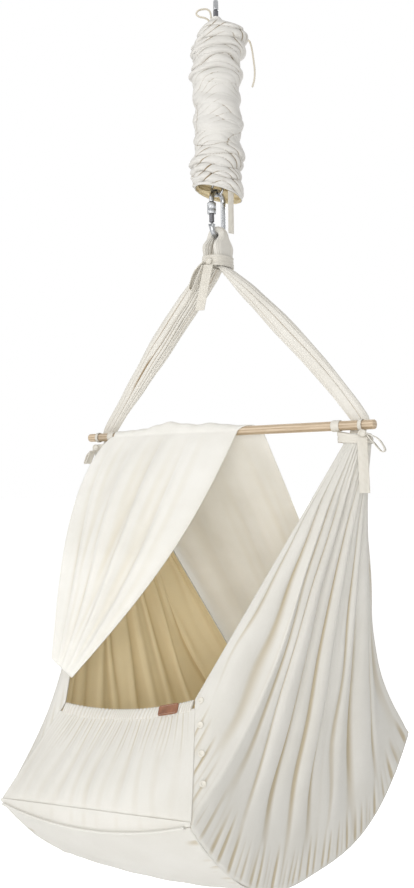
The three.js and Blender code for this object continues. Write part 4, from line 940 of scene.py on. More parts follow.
def make_loop():
    """The cloth loop over the carabiner's bow: pleated on its left leg and smoother on its right."""
    middle = LOOP_INSIDE + 7.5
    angle = np.radians(np.linspace(0, 180, 1500))
    legs = np.linspace(NECK_DROP, 0.1, 1500)
    path = np.vstack([
        stack(-middle + 0 * legs, 0 * legs, -legs),
        stack(-middle * np.cos(angle), 0 * angle, middle * np.sin(angle)),
        stack(middle + 0 * legs, 0 * legs, -legs[::-1]),
    ]) + np.array([0, 0, STRAP_BOW_Z])
    path = even(path, 150)
    tangent = unit(np.gradient(path, axis=0))
    wide = np.broadcast_to(np.array([0, 1.0, 0]), path.shape)
    deep = unit(np.cross(tangent, wide))
    drop = STRAP_BOW_Z - path[:, 2]
    widths = np.interp(drop, [-20, 0, 7, 20, 38, NECK_DROP], [18, 20, 34, 60, 52, 52]) - 1.2
    widths = np.convolve(np.pad(widths, 5, "edge"), np.ones(11) / 11, "valid")
    right = smooth((path[:, 0] + 6) / 12)
    depths = np.full(len(path), 13.8)
    creased, plain = (gathered_ring(path, wide, deep, widths, depths, pleats, 11) for pleats in (
        ((0.33, 0.009, 0.3), (0.40, 0.007, 0.34), (0.465, 0.008, 0.4), (0.53, 0.007, 0.34), (0.59, 0.008, 0.4),
         (0.66, 0.009, 0.36), (0.74, 0.010, 0.3), (0.85, 0.012, 0.4), (0.97, 0.012, 0.4), (0.15, 0.012, 0.4)),
        ((0.36, 0.014, 0.10), (0.44, 0.010, 0.10), (0.97, 0.012, 0.3), (0.15, 0.012, 0.3), (0.66, 0.02, 0.1))))
    grid = lerp(creased, plain, right[None, :, None])
    loop = cloth("strap_loop_cloth", grid, 1.2, PLEATED, wraps=True, fold_shade_scale=1.6)
    finish_piece(loop, "cradle", "cotton", "strap_loop")


def band_ring(name, centre, height, half_x, half_y, turns, node_name, seed, slant=0.0):
    """A tape wound several times round gathered cloth: a rounded oblong ring whose section bulges
    once for every turn, the turns slanting a little."""
    angle = np.arange(96) * TAU / 96
    v = np.linspace(0, 1, 10 * turns + 1)
    u, v = np.meshgrid(angle, v, indexing="ij")
    bent_x, bent_y = (rooted(w, 0.7) for w in (np.cos(u), np.sin(u)))
    turn = np.abs(np.sin(math.pi * (turns * v + 0.45 * np.sin(u + seed))))
    bulge = 1.1 * turn ** 0.5 + 0.3 * np.sin(3 * u + 5 * v + seed)
    grid = stack(centre[0] + (half_x + 0.7 + bulge) * bent_x, centre[1] + (half_y + 0.7 + bulge) * bent_y,
                 centre[2] + (0.5 - v) * height * (1 - 0.25 * np.cos(u) * np.sign(slant)) - slant * bent_x)
    piece = cloth(name, grid, 1.1, TAPE, wraps=True)
    return finish_piece(piece, "cradle", "tape", node_name)


def knot(name, centre, node_name, seed, turn=0.0):
    """A pulled knot: an egg shape crossed by three slanting tape folds, its poles closed."""
    polar = np.linspace(0.001, math.pi - 0.001, 40)
    around = np.arange(56) * TAU / 56
    p, a = np.meshgrid(polar, around, indexing="ij")
    folds = np.abs(np.sin(1.5 * (p + 0.7 * np.sin(a + turn)) + seed)) ** 0.6
    r = 0.86 + 0.14 * folds + 0.02 * np.sin(5 * a + 3 * p)
    rings = stack(centre[0] + KNOT_HALVES[0] * r * np.cos(p), centre[1] + KNOT_HALVES[1] * r * np.sin(p) * np.cos(a),
                  centre[2] + KNOT_HALVES[2] * r * np.sin(p) * np.sin(a))
    # Painted shade: the troughs between the knot's folds get 'hollow' values that darken the tape's colour.
    piece = loft(name, rings, TAPE, values={"hollow": (0.6 - folds) * 0.9})
    return finish_piece(piece, "cradle", "tape", node_name)


def loop_points(start, reach, drop, spread):
    """Points of a drooping tape loop that leaves and comes back to its knot."""
    places = [(0, 0, 0), (0.7, 0.35, -1), (1, 0.9, 0), (0.75, 1, 1), (0.35, 0.55, 1), (0, 0.12, 1)]
    return [start + np.array([reach * out + spread * side, 0, drop * down]) for out, down, side in places]


def make_strap_tie():
    """The tape that gathers the straps under the carabiner, with its knot, hanging tail and loop."""
    half_x, half_y = LOOP_INSIDE + 15 + 1.3, 26 + 4.0
    band_z = STRAP_BOW_Z - NECK_DROP + 10.5
    band_ring("strap_tie_turns", (0, 0, band_z), 20.5, half_x + 0.1, half_y + 0.1, 3,
              "strap_tie_band", 1)
    front = -half_y - 0.8 - 2.2 - 15 * 0.31
    k = np.array([5.0, front, band_z - 21 / 8])
    knot("strap_tie_pulled_knot", k, "strap_tie_knot", 0.4)
    under = KNOT_HALVES[2] + TOUCH
    tail = [k + np.array([-share * 22.0, 0, -under - share * 86.0]) for share in (0, 0.3, 0.7, 1)]
    ribbon("strap_tie_hanging_tail", even(catmull(tail, 2400), 70), TAIL_WIDTH, (0.9, 0.44, 0), "cradle",
           ("strap_tie_tail",), seed=8)
    start = k + np.array([-KNOT_HALVES[0] + TOUCH, -2.2, -1.8])
    loop = even(catmull(loop_points(start, -34, -50, -1.8), HUNG_PATH_POINTS), 110)
    ribbon("strap_tie_bow_loop", loop, TAPE_WIDTH, (0.2, -1, 0), "cradle", ("strap_tie_loop",), curl=0.3, seed=9)


make_loop()
make_strap(-1, "left_strap", [(0.58, 1), (0.88, 0.8), (1, 0.6), (0.85, 0.4), (0.65, 0.3), (0.58, 0.26)], 4,
           ((0.55, 0.010, 0.10), (0.64, 0.008, 0.22), (0.72, 0.009, 0.32), (0.79, 0.009, 0.36), (0.85, 0.008, 0.34),
            (0.905, 0.009, 0.36), (0.95, 0.007, 0.3), (0.995, 0.010, 0.3), (0.06, 0.012, 0.34),
            (0.16, 0.014, 0.36), (0.27, 0.014, 0.34), (0.38, 0.014, 0.34)), 21)
make_strap(1, "right_strap", [(0.29, 0.68), (0.58, 0.64), (0.73, 0.56), (0.69, 0.4), (0.63, 0.3), (0.58, 0.26)], 13,
           ((0.60, 0.009, 0.26), (0.685, 0.007, 0.10), (0.785, 0.009, 0.30), (0.90, 0.008, 0.26),
            (0.955, 0.008, 0.22), (0.03, 0.012, 0.26), (0.14, 0.014, 0.30), (0.26, 0.014, 0.30),
            (0.38, 0.014, 0.30), (0.49, 0.012, 0.2)), 31)
make_strap_tie()


# ---------------------------------------------------------------- bar and side ties
def make_bar():
    """The round ash bar: a profile of radius against length, with its two tie grooves and eased ends."""
    half, r = BAR_HALF, BAR_RADIUS
    profile = [(0, -half), (6.4, -half), (7.6, -half + 0.4), (8.3, -half + 1.2), (r, -half + 2.4)]
    for groove in (-GROOVE_X, GROOVE_X):
        profile += [(r, groove - 1.9), (r - 0.8, groove - 1.3), (r - 1, groove), (r - 0.8, groove + 1.3),
                    (r, groove + 1.9)]
    profile += [(r, half - 2.4), (8.3, half - 1.2), (7.6, half - 0.4), (6.4, half), (0, half)]
    to_x = np.array([[0, 0, 1], [0, 1, 0], [-1, 0, 0.0]])
    bar = turned("ash_spreader_bar", profile, ASH, (BAR_SHIFT, 0, BAR_Z), to_x, 56)
    finish_piece(bar, "cradle", "ash", "spreader_bar")


def wrap(name, x, width, turns, node_name, seed):
    """Tape wound round the bar: a ring whose section bulges at each turn."""
    u, v = np.meshgrid(np.arange(72) * TAU / 72, np.linspace(0, 1, 8 * turns + 1), indexing="ij")
    bulge = 0.7 * np.abs(np.sin(math.pi * (turns * v + 0.1 * np.sin(u + seed)))) ** 0.5
    r = BAR_RADIUS + 0.85 + bulge
    grid = stack(BAR_SHIFT + x + (v - 0.5) * width, r * np.cos(u), BAR_Z + r * np.sin(u))
    piece = cloth(name, grid, 0.9, TAPE, wraps=True)
    finish_piece(piece, "cradle", "tape", node_name)


def make_side_tie(side, name, wrap_x, place):
    """The tapes that tie one gathered side to the bar: band, two wraps and knot."""
    band_z = BAR_Z - 15 - TOUCH - 8
    band_ring(name + "_tie_turns", (BAR_SHIFT + side * GATHER_X, 6, band_z), 15.6, GATHER_HALF_X + 0.8 + 0.5 + 0.1,
              GATHER_HALF_Y + 0.8 + 0.5 + 0.1, 2, name + "_tie_band", 2 + side, 3.5 * side)
    wrap(name + "_tie_wide_wrap", side * wrap_x, 16.0, 2, name + "_tie_inner_wrap", 1.0)
    wrap(name + "_tie_narrow_wrap", side * GROOVE_X, 7.0, 1, name + "_tie_outer_wrap", 2.0)
    k = np.array([BAR_SHIFT, 0, BAR_Z]) + np.array(place, float)
    knot(name + "_tie_pulled_knot", k, name + "_tie_knot", 0.9, 1.0)
    return k


def make_ties():
    """Both side ties with the tail and bow loops that hang from their knots."""
    under = KNOT_HALVES[2] + TOUCH
    k = make_side_tie(1, "right", 265.0, (324.0, -17.6, -15.0))
    tail = [k + np.array([2 * share * 1.8, 0, -under - share * 96.0]) for share in (0, 0.3, 0.7, 1)]
    ribbon("right_tie_hanging_tail", even(catmull(tail, 2400), 70), TAIL_WIDTH, AWAY, "cradle",
           ("right_tie_tail",), seed=12)
    start = k + np.array([KNOT_HALVES[0] + 0.6, 0, -TOUCH])
    loop = even(catmull(loop_points(start, 34, -32, 1.8), HUNG_PATH_POINTS), 110)
    ribbon("right_tie_bow_loop", loop, TAPE_WIDTH, (-0.3, 1, 0), "cradle", ("right_tie_loop",), curl=0.3, seed=13)
    k = make_side_tie(-1, "left", 274.0, (-305.0, -19.8, -22.0))
    start = k + np.array([0, -8.2, -under])
    loop = even(catmull(loop_points(start, -18, -26, -1.8), HUNG_PATH_POINTS), 90)
    ribbon("left_tie_bow_loop", loop, TAPE_WIDTH, (0.2, 1, 0), "cradle", ("left_tie_loop",), curl=0.3, seed=14)


make_bar()
make_ties()

# ---------------------------------------------------------------- body of the cradle
FLAP_EDGE = 0.16  # share of a panel's lower edge that runs up one flap
FLAP_SLANT = math.hypot(FRONT_Y - FLAP_TOP_Y, BAR_Z - RIM_Z - FLAP_TOP_DROP)
CASING_FOOT = 1 - 20 / FLAP_SLANT


def base_points(s, t):
    """The base: a boat shape, s from front to back and t from left to right, both -1 to 1."""
    half = lerp(MIDDLE_HALF, np.where(s < 0, FRONT_HALF, BACK_HALF), s * s)
    to_end = s * s
    across = 26.0 * lerp(0.3, 1.0, to_end) * (1 - t * t)
    left = LEFT_DROP * lerp(0.67, 1.0, np.minimum(1, 1.6 * to_end))
    boat = BOAT_SAG * (1 - np.where(s < 0, np.abs(s) ** 2.2, np.abs(s) ** 3.1))
    stern = np.where(s < 0, 0, STERN_DROP * to_end)
    return stack(BAR_SHIFT + t * half, s * np.where(s < 0, FRONT_Y, BACK_Y),
                 RIM_Z - boat - stern - across - left * (1 - t) / 2)


def flap_points(end, t, h, rise):
    """An end flap: t across from -1 to 1, h from its foot to its top edge; rise None follows the base."""
    side = LEFT_DROP * (1 - t) / 2
    top = BAR_Z - FLAP_TOP_DROP - side - FLAP_TOP_SAG * (1 - t * t)
    ends = (FRONT_HALF, FRONT_Y) if end < 0 else (BACK_HALF, BACK_Y)
    foot = base_points(np.full(np.shape(t), float(end)), t)[..., 2] if rise is None else RIM_Z - side + rise
    bow = 6.0 * np.sin(math.pi * h) * (1 - t * t)
    return stack(BAR_SHIFT + t * lerp(ends[0], FLAP_TOP_HALF, h), end * (lerp(ends[1], FLAP_TOP_Y, h) + bow),
                 lerp(foot, top, h))


def panel_edge(side, u):
    """The lower edge of a side panel: up the front flap, along the base and up the back flap."""
    t = np.full(np.shape(u), float(side))
    front = flap_points(-1, t, np.clip(1 - u / FLAP_EDGE, 0, 1), 0.0)
    back = flap_points(1, t, np.clip((u - 1 + FLAP_EDGE) / FLAP_EDGE, 0, 1), -STERN_DROP)
    s = np.clip(lerp(-1, 1, (u - FLAP_EDGE) / (1 - 2 * FLAP_EDGE)), -1, 1)
    base = base_points(s, t) + np.array([0, 0, -1.5])
    edge = np.where((u < FLAP_EDGE)[..., None], front, np.where((u > 1 - FLAP_EDGE)[..., None], back, base))
    return edge + np.array([side * 1.9, 0, 0])


def gather_points(side, u):
    """The gathered neck under one end of the bar: part of an oval, open towards the middle."""
    angle = np.radians(lerp(-125, 125, u))
    return stack(BAR_SHIFT + side * (GATHER_X + GATHER_HALF_X * np.cos(angle)), 6.0 + GATHER_HALF_Y * np.sin(angle),
                 BAR_Z - 15.0 + 0 * u)


RIGHT_FOLDS = (
    (0.045, 0.115, 0.185, 0.25, 0.335, 0.40, 0.475, 0.545, 0.635, 0.73, 0.83, 0.93),
    (0.013, 0.016, 0.013, 0.012, 0.016, 0.011, 0.014, 0.012, 0.018, 0.016, 0.02, 0.014),
    (5.0, 6.5, 4.5, 5.0, 15.0, 6.0, 9.5, 6.0, 11.0, 8.0, 9.0, 5.0),
)
LEFT_FOLDS = (
    (0.06, 0.14, 0.215, 0.30, 0.375, 0.44, 0.52, 0.60, 0.67, 0.76, 0.85, 0.94),
    (0.014, 0.016, 0.013, 0.017, 0.012, 0.013, 0.016, 0.012, 0.015, 0.017, 0.018, 0.013),
    (5.0, 6.0, 5.0, 9.0, 6.0, 7.0, 10.0, 6.0, 8.0, 8.0, 7.0, 5.0),
)


def panel_points(side, u, v, fine=1.0):
    """A side panel: a straight gathered neck, then cloth that fans out to its lower edge in folds.
    Broad waves carry narrow hollows that run from the neck and fade before the seam, where short
    puckers take over. Above each corner of the base the cloth draws in."""
    neck = 0.1
    fan = np.maximum(0, (v - neck) / (1 - neck))
    top = gather_points(side, u)
    top[..., 2] -= 19.0 * np.minimum(1, v / neck)
    point = lerp(top, panel_edge(side, u), fan[..., None])
    to_middle = np.where(u < 0.5, 1.0, -1.0)
    corner = np.where(u < 0.5, FLAP_EDGE, 1 - FLAP_EDGE)
    near = smooth(1 - np.abs(u - corner) / 0.13)
    sag = 58.0 * near * np.sin(math.pi * fan**1.8)
    wave = np.cos(TAU * 7 * u + 0.7 * np.sin(2 * TAU * u))
    bell = np.sin(math.pi * u) * np.sin(math.pi * fan) ** 0.8
    fold = 9.0 * bell * np.minimum(1, 2.4 * fan) * wave * lerp(1, 0.62, fine)
    places, widths, depths = RIGHT_FOLDS if side > 0 else LEFT_FOLDS
    wander = 0.006 * waves(u * 2, v * 1.2, 40 + side)
    spread = 1 + 1.4 * fan
    narrow = valleys(u + wander, places, [w * 1.1 for w in widths], depths)
    broad = valleys(u + wander * 1.5, places, [w * 2.6 for w in widths], [d * 0.6 for d in depths])
    run = smooth(fan / 0.22) * (1 - smooth((fan - 0.72) / 0.26))
    tight = np.cos(TAU * 24 * u + 2 * waves(u, v * 0.6, 50 + side)) * (1 - smooth(fan / 0.3))
    pucker = waves(u * 40, v * 1.5, 60 + side, 6, 0.7, 1.6) * smooth((fan - 0.88) / 0.1)
    pucker = pucker * (1 - 0.9 * smooth((fan - 0.985) / 0.015))
    edge = np.minimum(1, np.minimum(u, 1 - u) / 0.02)
    fold = fold + fine * edge * ((narrow * 1.15 + broad * 0.9) * run / spread ** 0.3 + 1.3 * tight + 1.2 * pucker)
    move = stack(0.9 * side * fold, 0.4 * fold * (2 * u - 1) + to_middle * sag, 0 * fold)
    return point + move


def make_panels():
    """Both side panels with the turned hems of their front and back edges."""
    for side, name in ((-1, "left"), (1, "right")):
        u, v = np.meshgrid(np.linspace(0, 1, 341), np.linspace(0, 1, 131), indexing="ij")
        grid = panel_points(side, u, v)
        hem = 1.0 * (np.minimum(u, 1 - u) < 0.012) * np.minimum(1, 2 * v)
        thick = lerp(1.2, 1.9, np.minimum(1, 1.6 * v)) + hem
        panel = cloth(name + "_side_panel_cloth", grid, thick, COTTON, INNER_COTTON_PAINTED_LIGHT, facing=(side, 0, 0), fold_shade_scale=1.5)
        finish_piece(panel, "cradle", "cotton", name + "_side_panel")


def quilt_seams(su, tu):
    """Both crossing sets of quilt lines over shares of the mattress: 0 on a seam, 1 half way between."""
    return [np.abs(np.sin(math.pi * QUILT_ROWS * (su + tu * way))) for way in (0.5, -0.5)]


def quilting(x, y):
    """Height of the quilting at x, y in mm: 0 on its two crossing sets of seams, 1 between them, and
    how near a place lies to the mattress's edge, 1 on the edge."""
    s = y / np.where(y < 0, FRONT_Y, BACK_Y)
    t = (x - BAR_SHIFT) / lerp(MIDDLE_HALF, np.where(s < 0, FRONT_HALF, BACK_HALF), s * s)
    s, t = s / PAD_LENGTH_SHARE, t / PAD_WIDTH_SHARE
    su, tu = (s + 1) / 2, (t + 1) / 2
    return np.minimum(*quilt_seams(su, tu)), np.maximum(np.abs(s), np.abs(t))


def swell(obj, voxel, pressure, limit):
    """Fills a padded piece: voxel remesh, cloth under pressure with its seams and edge held, each
    point's movement cut to limit mm, and the weave's map and fold values made again, the fold values
    being painted shade along the quilting seams."""
    def settled():
        graph = bpy.context.evaluated_depsgraph_get()
        return bpy.data.meshes.new_from_object(obj.evaluated_get(graph))

    remesh = obj.modifiers.new("remesh", "REMESH")
    remesh.mode, remesh.voxel_size, remesh.use_smooth_shade = "VOXEL", voxel, True
    mesh = settled()
    obj.modifiers.clear()
    obj.data = mesh
    start = points_of(mesh)
    seams, edge = quilting(start[:, 0] * 1000, start[:, 1] * 1000)
    held = obj.vertex_groups.new(name="seams")
    held.add(np.flatnonzero((seams < 0.13) | (edge > 0.97)).tolist(), 1.0, "REPLACE")
    puff = obj.modifiers.new("swell", "CLOTH")
    puff.settings.use_pressure = True
    puff.settings.uniform_pressure_force = pressure
    puff.settings.effector_weights.gravity = 0
    puff.settings.vertex_group_mass = "seams"
    for frame in range(1, 21):
        bpy.context.scene.frame_set(frame)
    move = points_of(settled()) - start
    obj.modifiers.clear()
    obj.vertex_groups.clear()
    bpy.context.scene.frame_set(1)
    far = np.linalg.norm(move, axis=1, keepdims=True) * 1000
    final = start + move * np.minimum(1, limit / np.maximum(far, 1e-6))
    mesh.vertices.foreach_set("co", final.astype(np.float32).ravel())
    layer = mesh.uv_layers.new(name="cloth")
    layer.data.foreach_set("uv", final[corners_of(mesh), :2].astype(np.float32).ravel())
    # Painted shade: points on and near the quilting seams get 'hollow' values that darken the mattress cotton.
    deep = mesh.attributes.new("hollow", "FLOAT", "POINT")
    deep.data.foreach_set("value", np.clip(0.6 - seams * 1.6, 0, 1).astype(np.float32))
    mesh.update()
    print("swell", obj.name, len(mesh.polygons), "faces, mean move", round(float(far.mean()), 2), "mm, largest",
          round(float(far.max()), 2))


def make_base():
    """The base, its mattress and the piping of both end seams."""
    s, t = np.meshgrid(np.linspace(-1, 1, 161), np.linspace(-1, 1, 81), indexing="ij")
    grid = base_points(s, t * (1 + 1.0 / MIDDLE_HALF))
    near = smooth((np.abs(t) - 0.84) / 0.13) * (1 - smooth((np.abs(t) - 0.975) / 0.025))
    grid[..., 2] -= 1.5 - 1.0 * near * waves(s * 26, t * 1.5, 71, 6, 0.7, 1.6) - 0.8 * waves(s * 1.2, t, 72)
    base = cloth("base_cloth", grid, 1.9, COTTON, INNER_COTTON_PAINTED_LIGHT, facing=(0, 0, -1))
    finish_piece(base, "cradle", "cotton", "base_panel")

    rows, cols = 121, 61
    s, t = np.meshgrid(np.linspace(-1, 1, rows), np.linspace(-1, 1, cols), indexing="ij")
    su, tu = (s + 1) / 2, (t + 1) / 2
    bed = base_points(s * PAD_LENGTH_SHARE, t * PAD_WIDTH_SHARE)
    n = grid_normals(bed)
    n = n * np.sign(n[..., 2:3])
    crown = np.sqrt(np.sin(math.pi * np.clip(su, 0, 1)) * np.sin(math.pi * np.clip(tu, 0, 1)))
    round_edge = (np.clip(1 - np.abs(s) ** 14, 0, 1) * np.clip(1 - np.abs(t) ** 10, 0, 1)) ** 0.5
    one, other = quilt_seams(su, tu)
    quilt = 1.8 * (one ** 0.5 + other ** 0.5) - 3.2
    height = lerp(19.0, 36.5, np.minimum(1, 1.3 * crown)) * lerp(0.35, 1, round_edge)
    low = bed + n * (3.6 + 9.0 * (1 - round_edge))[..., None]
    high = bed + n * (3.3 + height + quilt * round_edge)[..., None]
    index = np.arange(rows * cols).reshape(rows, cols)
    size = rows * cols
    top, bottom = twin_quads(index, size)

    def side(line):
        return np.stack([line[:-1], line[:-1] + size, line[1:] + size, line[1:]], -1)

    rims = np.concatenate([side(index[:, 0]), side(index[::-1, -1]), side(index[0, ::-1]), side(index[-1, :])])
    quads = np.concatenate([top, bottom, rims])
    points = np.concatenate([high.reshape(-1, 3), low.reshape(-1, 3)])
    if signed_volume(points, quads, np.zeros((0, 3), int)) < 0:
        quads = quads[:, ::-1]
    uv = np.stack([su, tu], -1).reshape(-1, 2) * np.array([0.8, 0.4])
    # Painted shade in the quilting dips of the top face, as 'hollow' values.
    deep = np.concatenate([(-quilt / 3.2).ravel() * 0.5, np.zeros(size)])
    pad = write_mesh("quilted_mattress", points, quads, [], None, [PAD], np.vstack([uv, uv]), {"hollow": deep})
    swell(pad, 0.006, 4.0, 5.0)
    pad.modifiers.new("finer", "SUBSURF").render_levels = 1
    finish_piece(pad, "cradle", "wool", "mattress")

    for end, name, cover in ((-1, "front", 3.4), (1, "back", 2.0)):
        t = np.linspace(-1, 1, 140) * (1 - 5 / MIDDLE_HALF)
        path = base_points(np.full(140, float(end)), t) + np.array([0, end * (2.5 + cover + TOUCH), 0])
        made = tube(name + "_corded_piping", even(path, 140), 2.4, COTTON, 16)
        finish_piece(made, "cradle", "cotton", name + "_piping")


def make_flaps():
    """The front and back flaps with their elastic casings, and the apron under the front one."""
    reach = 1 + 2.4 / FLAP_TOP_HALF
    for end, name, body in ((-1, "front", "front_flap"), (1, "back", "cradle")):
        t, h = np.meshgrid(np.linspace(-1, 1, 221) * reach, np.linspace(0, 1, 91), indexing="ij")
        rise = APRON_RISE if end < 0 else None
        grid = flap_points(end, t, h * (CASING_FOOT + 5 / FLAP_SLANT), rise)
        grid[..., 1] += end * 9.0 * np.sin(math.pi * np.clip(h, 0, 1) ** 0.5) ** 1.5 * (1 - t**4)
        if end > 0:
            grid[..., 2] += (1 - h) * 1.0
        bend = t + 0.015 * np.sin(5 * h + 9 * t)
        gathers = np.sin(TAU * 23 * bend + 2 * np.sin(7 * t)) + 0.8 * np.sin(TAU * 15 * bend + 3 * np.sin(4 * t))
        gathers = gathers * smooth((h - 0.5) / 0.45)
        soft = waves(t * 2.6, h * 0.5, 81, 6, 0.8, 1.6) + 0.7 * np.sin(TAU * 5.3 * bend + 1.5 * np.sin(3 * t))
        soft = soft * np.sin(math.pi * np.clip(h, 0, 1)) ** 0.5
        grid[..., 1] += end * (0.6 * gathers + 1.7 * soft) * (1 - np.abs(t) ** 8)
        flap = cloth(name + "_flap_cloth", grid, lerp(0.9, 1.9, smooth(h / 0.06)), COTTON, INNER_COTTON_PAINTED_LIGHT, facing=(0, end, 0))
        finish_piece(flap, body, "cotton", name + "_flap")
        casing(end, name, body)
    t, v = np.meshgrid(np.linspace(-1, 1, 161) * reach, np.linspace(0, 1, 25), indexing="ij")
    foot = base_points(np.full(t.shape, -1.0), t)
    top = RIM_Z - LEFT_DROP * (1 - t) / 2 + APRON_RISE + 0.8
    soft = 0.2 * np.sin(math.pi * v) * (np.sin(31 * t + 2 * np.sin(5 * t)) + 0.5 * np.sin(53 * t + 1))
    grid = stack(foot[..., 0], -355.9 - 1.4 * v * (1 - v) - soft * (1 - t**6), lerp(foot[..., 2] + 0.4, top, v))
    apron = cloth("front_apron_cloth", grid, 1.9, COTTON, INNER_COTTON_PAINTED_LIGHT, facing=(0, -1, 0))
    finish_piece(apron, "cradle", "cotton", "front_apron")


def casing_frames(end, t):
    """Foot, level, upward and outward directions of a flap's casing at places t across it."""
    rise = APRON_RISE if end < 0 else None
    h = np.full(t.shape, CASING_FOOT)
    foot = flap_points(end, t, h, rise)
    up = (flap_points(end, t, h * 0 + 1, rise) - foot) * [0, 1, 1]
    up = unit(up)
    level = unit(flap_points(end, t + 0.02, h, rise) - flap_points(end, t - 0.02, h, rise))
    out = stack(0 * t, end * up[:, 2], -end * up[:, 1])
    return foot, level, up, out


def casing(end, name, body):
    """The gathered elastic casing: an oval section carried across, puckered by many small gathers
    that pinch its thickness and waver along its edges."""
    stations = 420
    t = np.linspace(-1, 1, stations) * (1 - 6.8 / FLAP_TOP_HALF)
    foot, _, up, out = casing_frames(end, t)
    share = np.linspace(0, 1, stations)
    gather = rooted(np.sin(TAU * (46 * share + 1.3 * waves(share, share * 0, 90))), 0.8)
    angle = np.arange(24) * TAU / 24
    swell = 1 + 0.24 * gather[:, None] * (0.5 + 0.5 * np.abs(np.sin(angle))[None])
    edge = 1.3 * gather[:, None] * np.sign(np.cos(angle))[None]
    rise = 0.8 + 10 * (1 + 0.985 * rooted(np.cos(angle), 0.7))[None] + edge * 0.6
    thick = 3.3 * rooted(np.sin(angle), 0.6)[None] * swell
    rings = foot[:, None] + rise[..., None] * up[:, None] + thick[..., None] * out[:, None]
    # Painted shade: the hollows of the gathers get 'hollow' values that darken the cotton's colour.
    made = loft(name + "_gathered_casing", rings, COTTON,
                values={"hollow": (-gather[:, None] * np.ones((1, 24))) * 0.45})
    finish_piece(made, body, "cotton", name + "_elastic_casing")


def make_label():
    """The bare leather label on the front casing: a rounded plate with a stitched border."""
    foot, side, up, out = (a[0] for a in casing_frames(-1, np.array([0.65])))
    proud = 3.5 * 1.14 + 0.8 + 1.0
    centre = foot + up * 10.4 + out * proud
    rise = unit(np.cross(out, side))
    rise = rise * np.sign(rise[2])
    angle = np.arange(72) * TAU / 72
    bent = [rooted(f, 0.28) for f in (np.cos(angle), np.sin(angle))]
    rings = []
    for depth, inset in ((-1.0, 0.6), (-0.9, 0.15), (-0.6, 0), (0.5, 0), (0.85, 0.25), (1.0, 0.8), (1.0, 1.6)):
        x, y = bent[0] * (21 - inset), bent[1] * (9 - inset)
        rings.append(centre + x[:, None] * side + y[:, None] * rise + depth * out)
    plate = loft("bare_leather_label", np.array(rings), LEATHER)
    finish_piece(plate, "front_flap", "leather", "leather_label")
    stitches = []
    for k in range(18):
        for sign in (-1, 1):
            x = -17 + 2 * k
            mid = centre + side * x + rise * sign * 6.9 + out * 0.95
            line = np.array([mid - side * 0.65 - out * 0.25, mid - side * 0.4, mid + side * 0.4,
                             mid + side * 0.65 - out * 0.25])
            stitches.append(tube("stitch", line, 0.22, CORD, 6))
    finish_piece(join("label_stitches", *stitches), "front_flap", "cord")


def make_studs():
    """Four ring shaped press studs down the front edge of the right panel."""
    profile = [(0, -1.2), (5.2, -1.2), (5.5, -1.0), (5.4, -0.5), (4.9, -0.1), (4.1, 0.1), (3.3, -0.05), (2.7, -0.45),
               (2.2, -0.6), (0, -0.6)]
    for k in range(4):
        low, high = (np.array(p) * 1000 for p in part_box(f"right_stud_{k + 1}"))
        centre = (low + high) / 2
        n = stud_normals()[k]
        side = unit(np.cross([0, 0, 1.0], n))
        matrix = np.stack([side, np.cross(n, side), n], -1)
        made = turned(f"press_stud_{k + 1}", profile, STUD, centre, matrix, 36)
        finish_piece(made, "cradle", "stud", f"right_stud_{k + 1}")


def stud_normals():
    """Outward normals of the right panel under its studs, from its plain folds."""
    normals = []
    for share in (0.105, 0.32, 0.565, 0.815):
        u, v, e = FLAP_EDGE * share, 1 - 0.035, 0.01
        p = [panel_points(1, np.array(a), np.array(b), 0.0) for a, b in ((u, v), (u + e, v), (u, v + e * 2))]
        n = unit(np.cross(p[1] - p[0], p[2] - p[0]))
        normals.append(n if n[1] < 0 else -n)
    return normals


make_panels()
make_base()
make_flaps()
make_label()
make_studs()


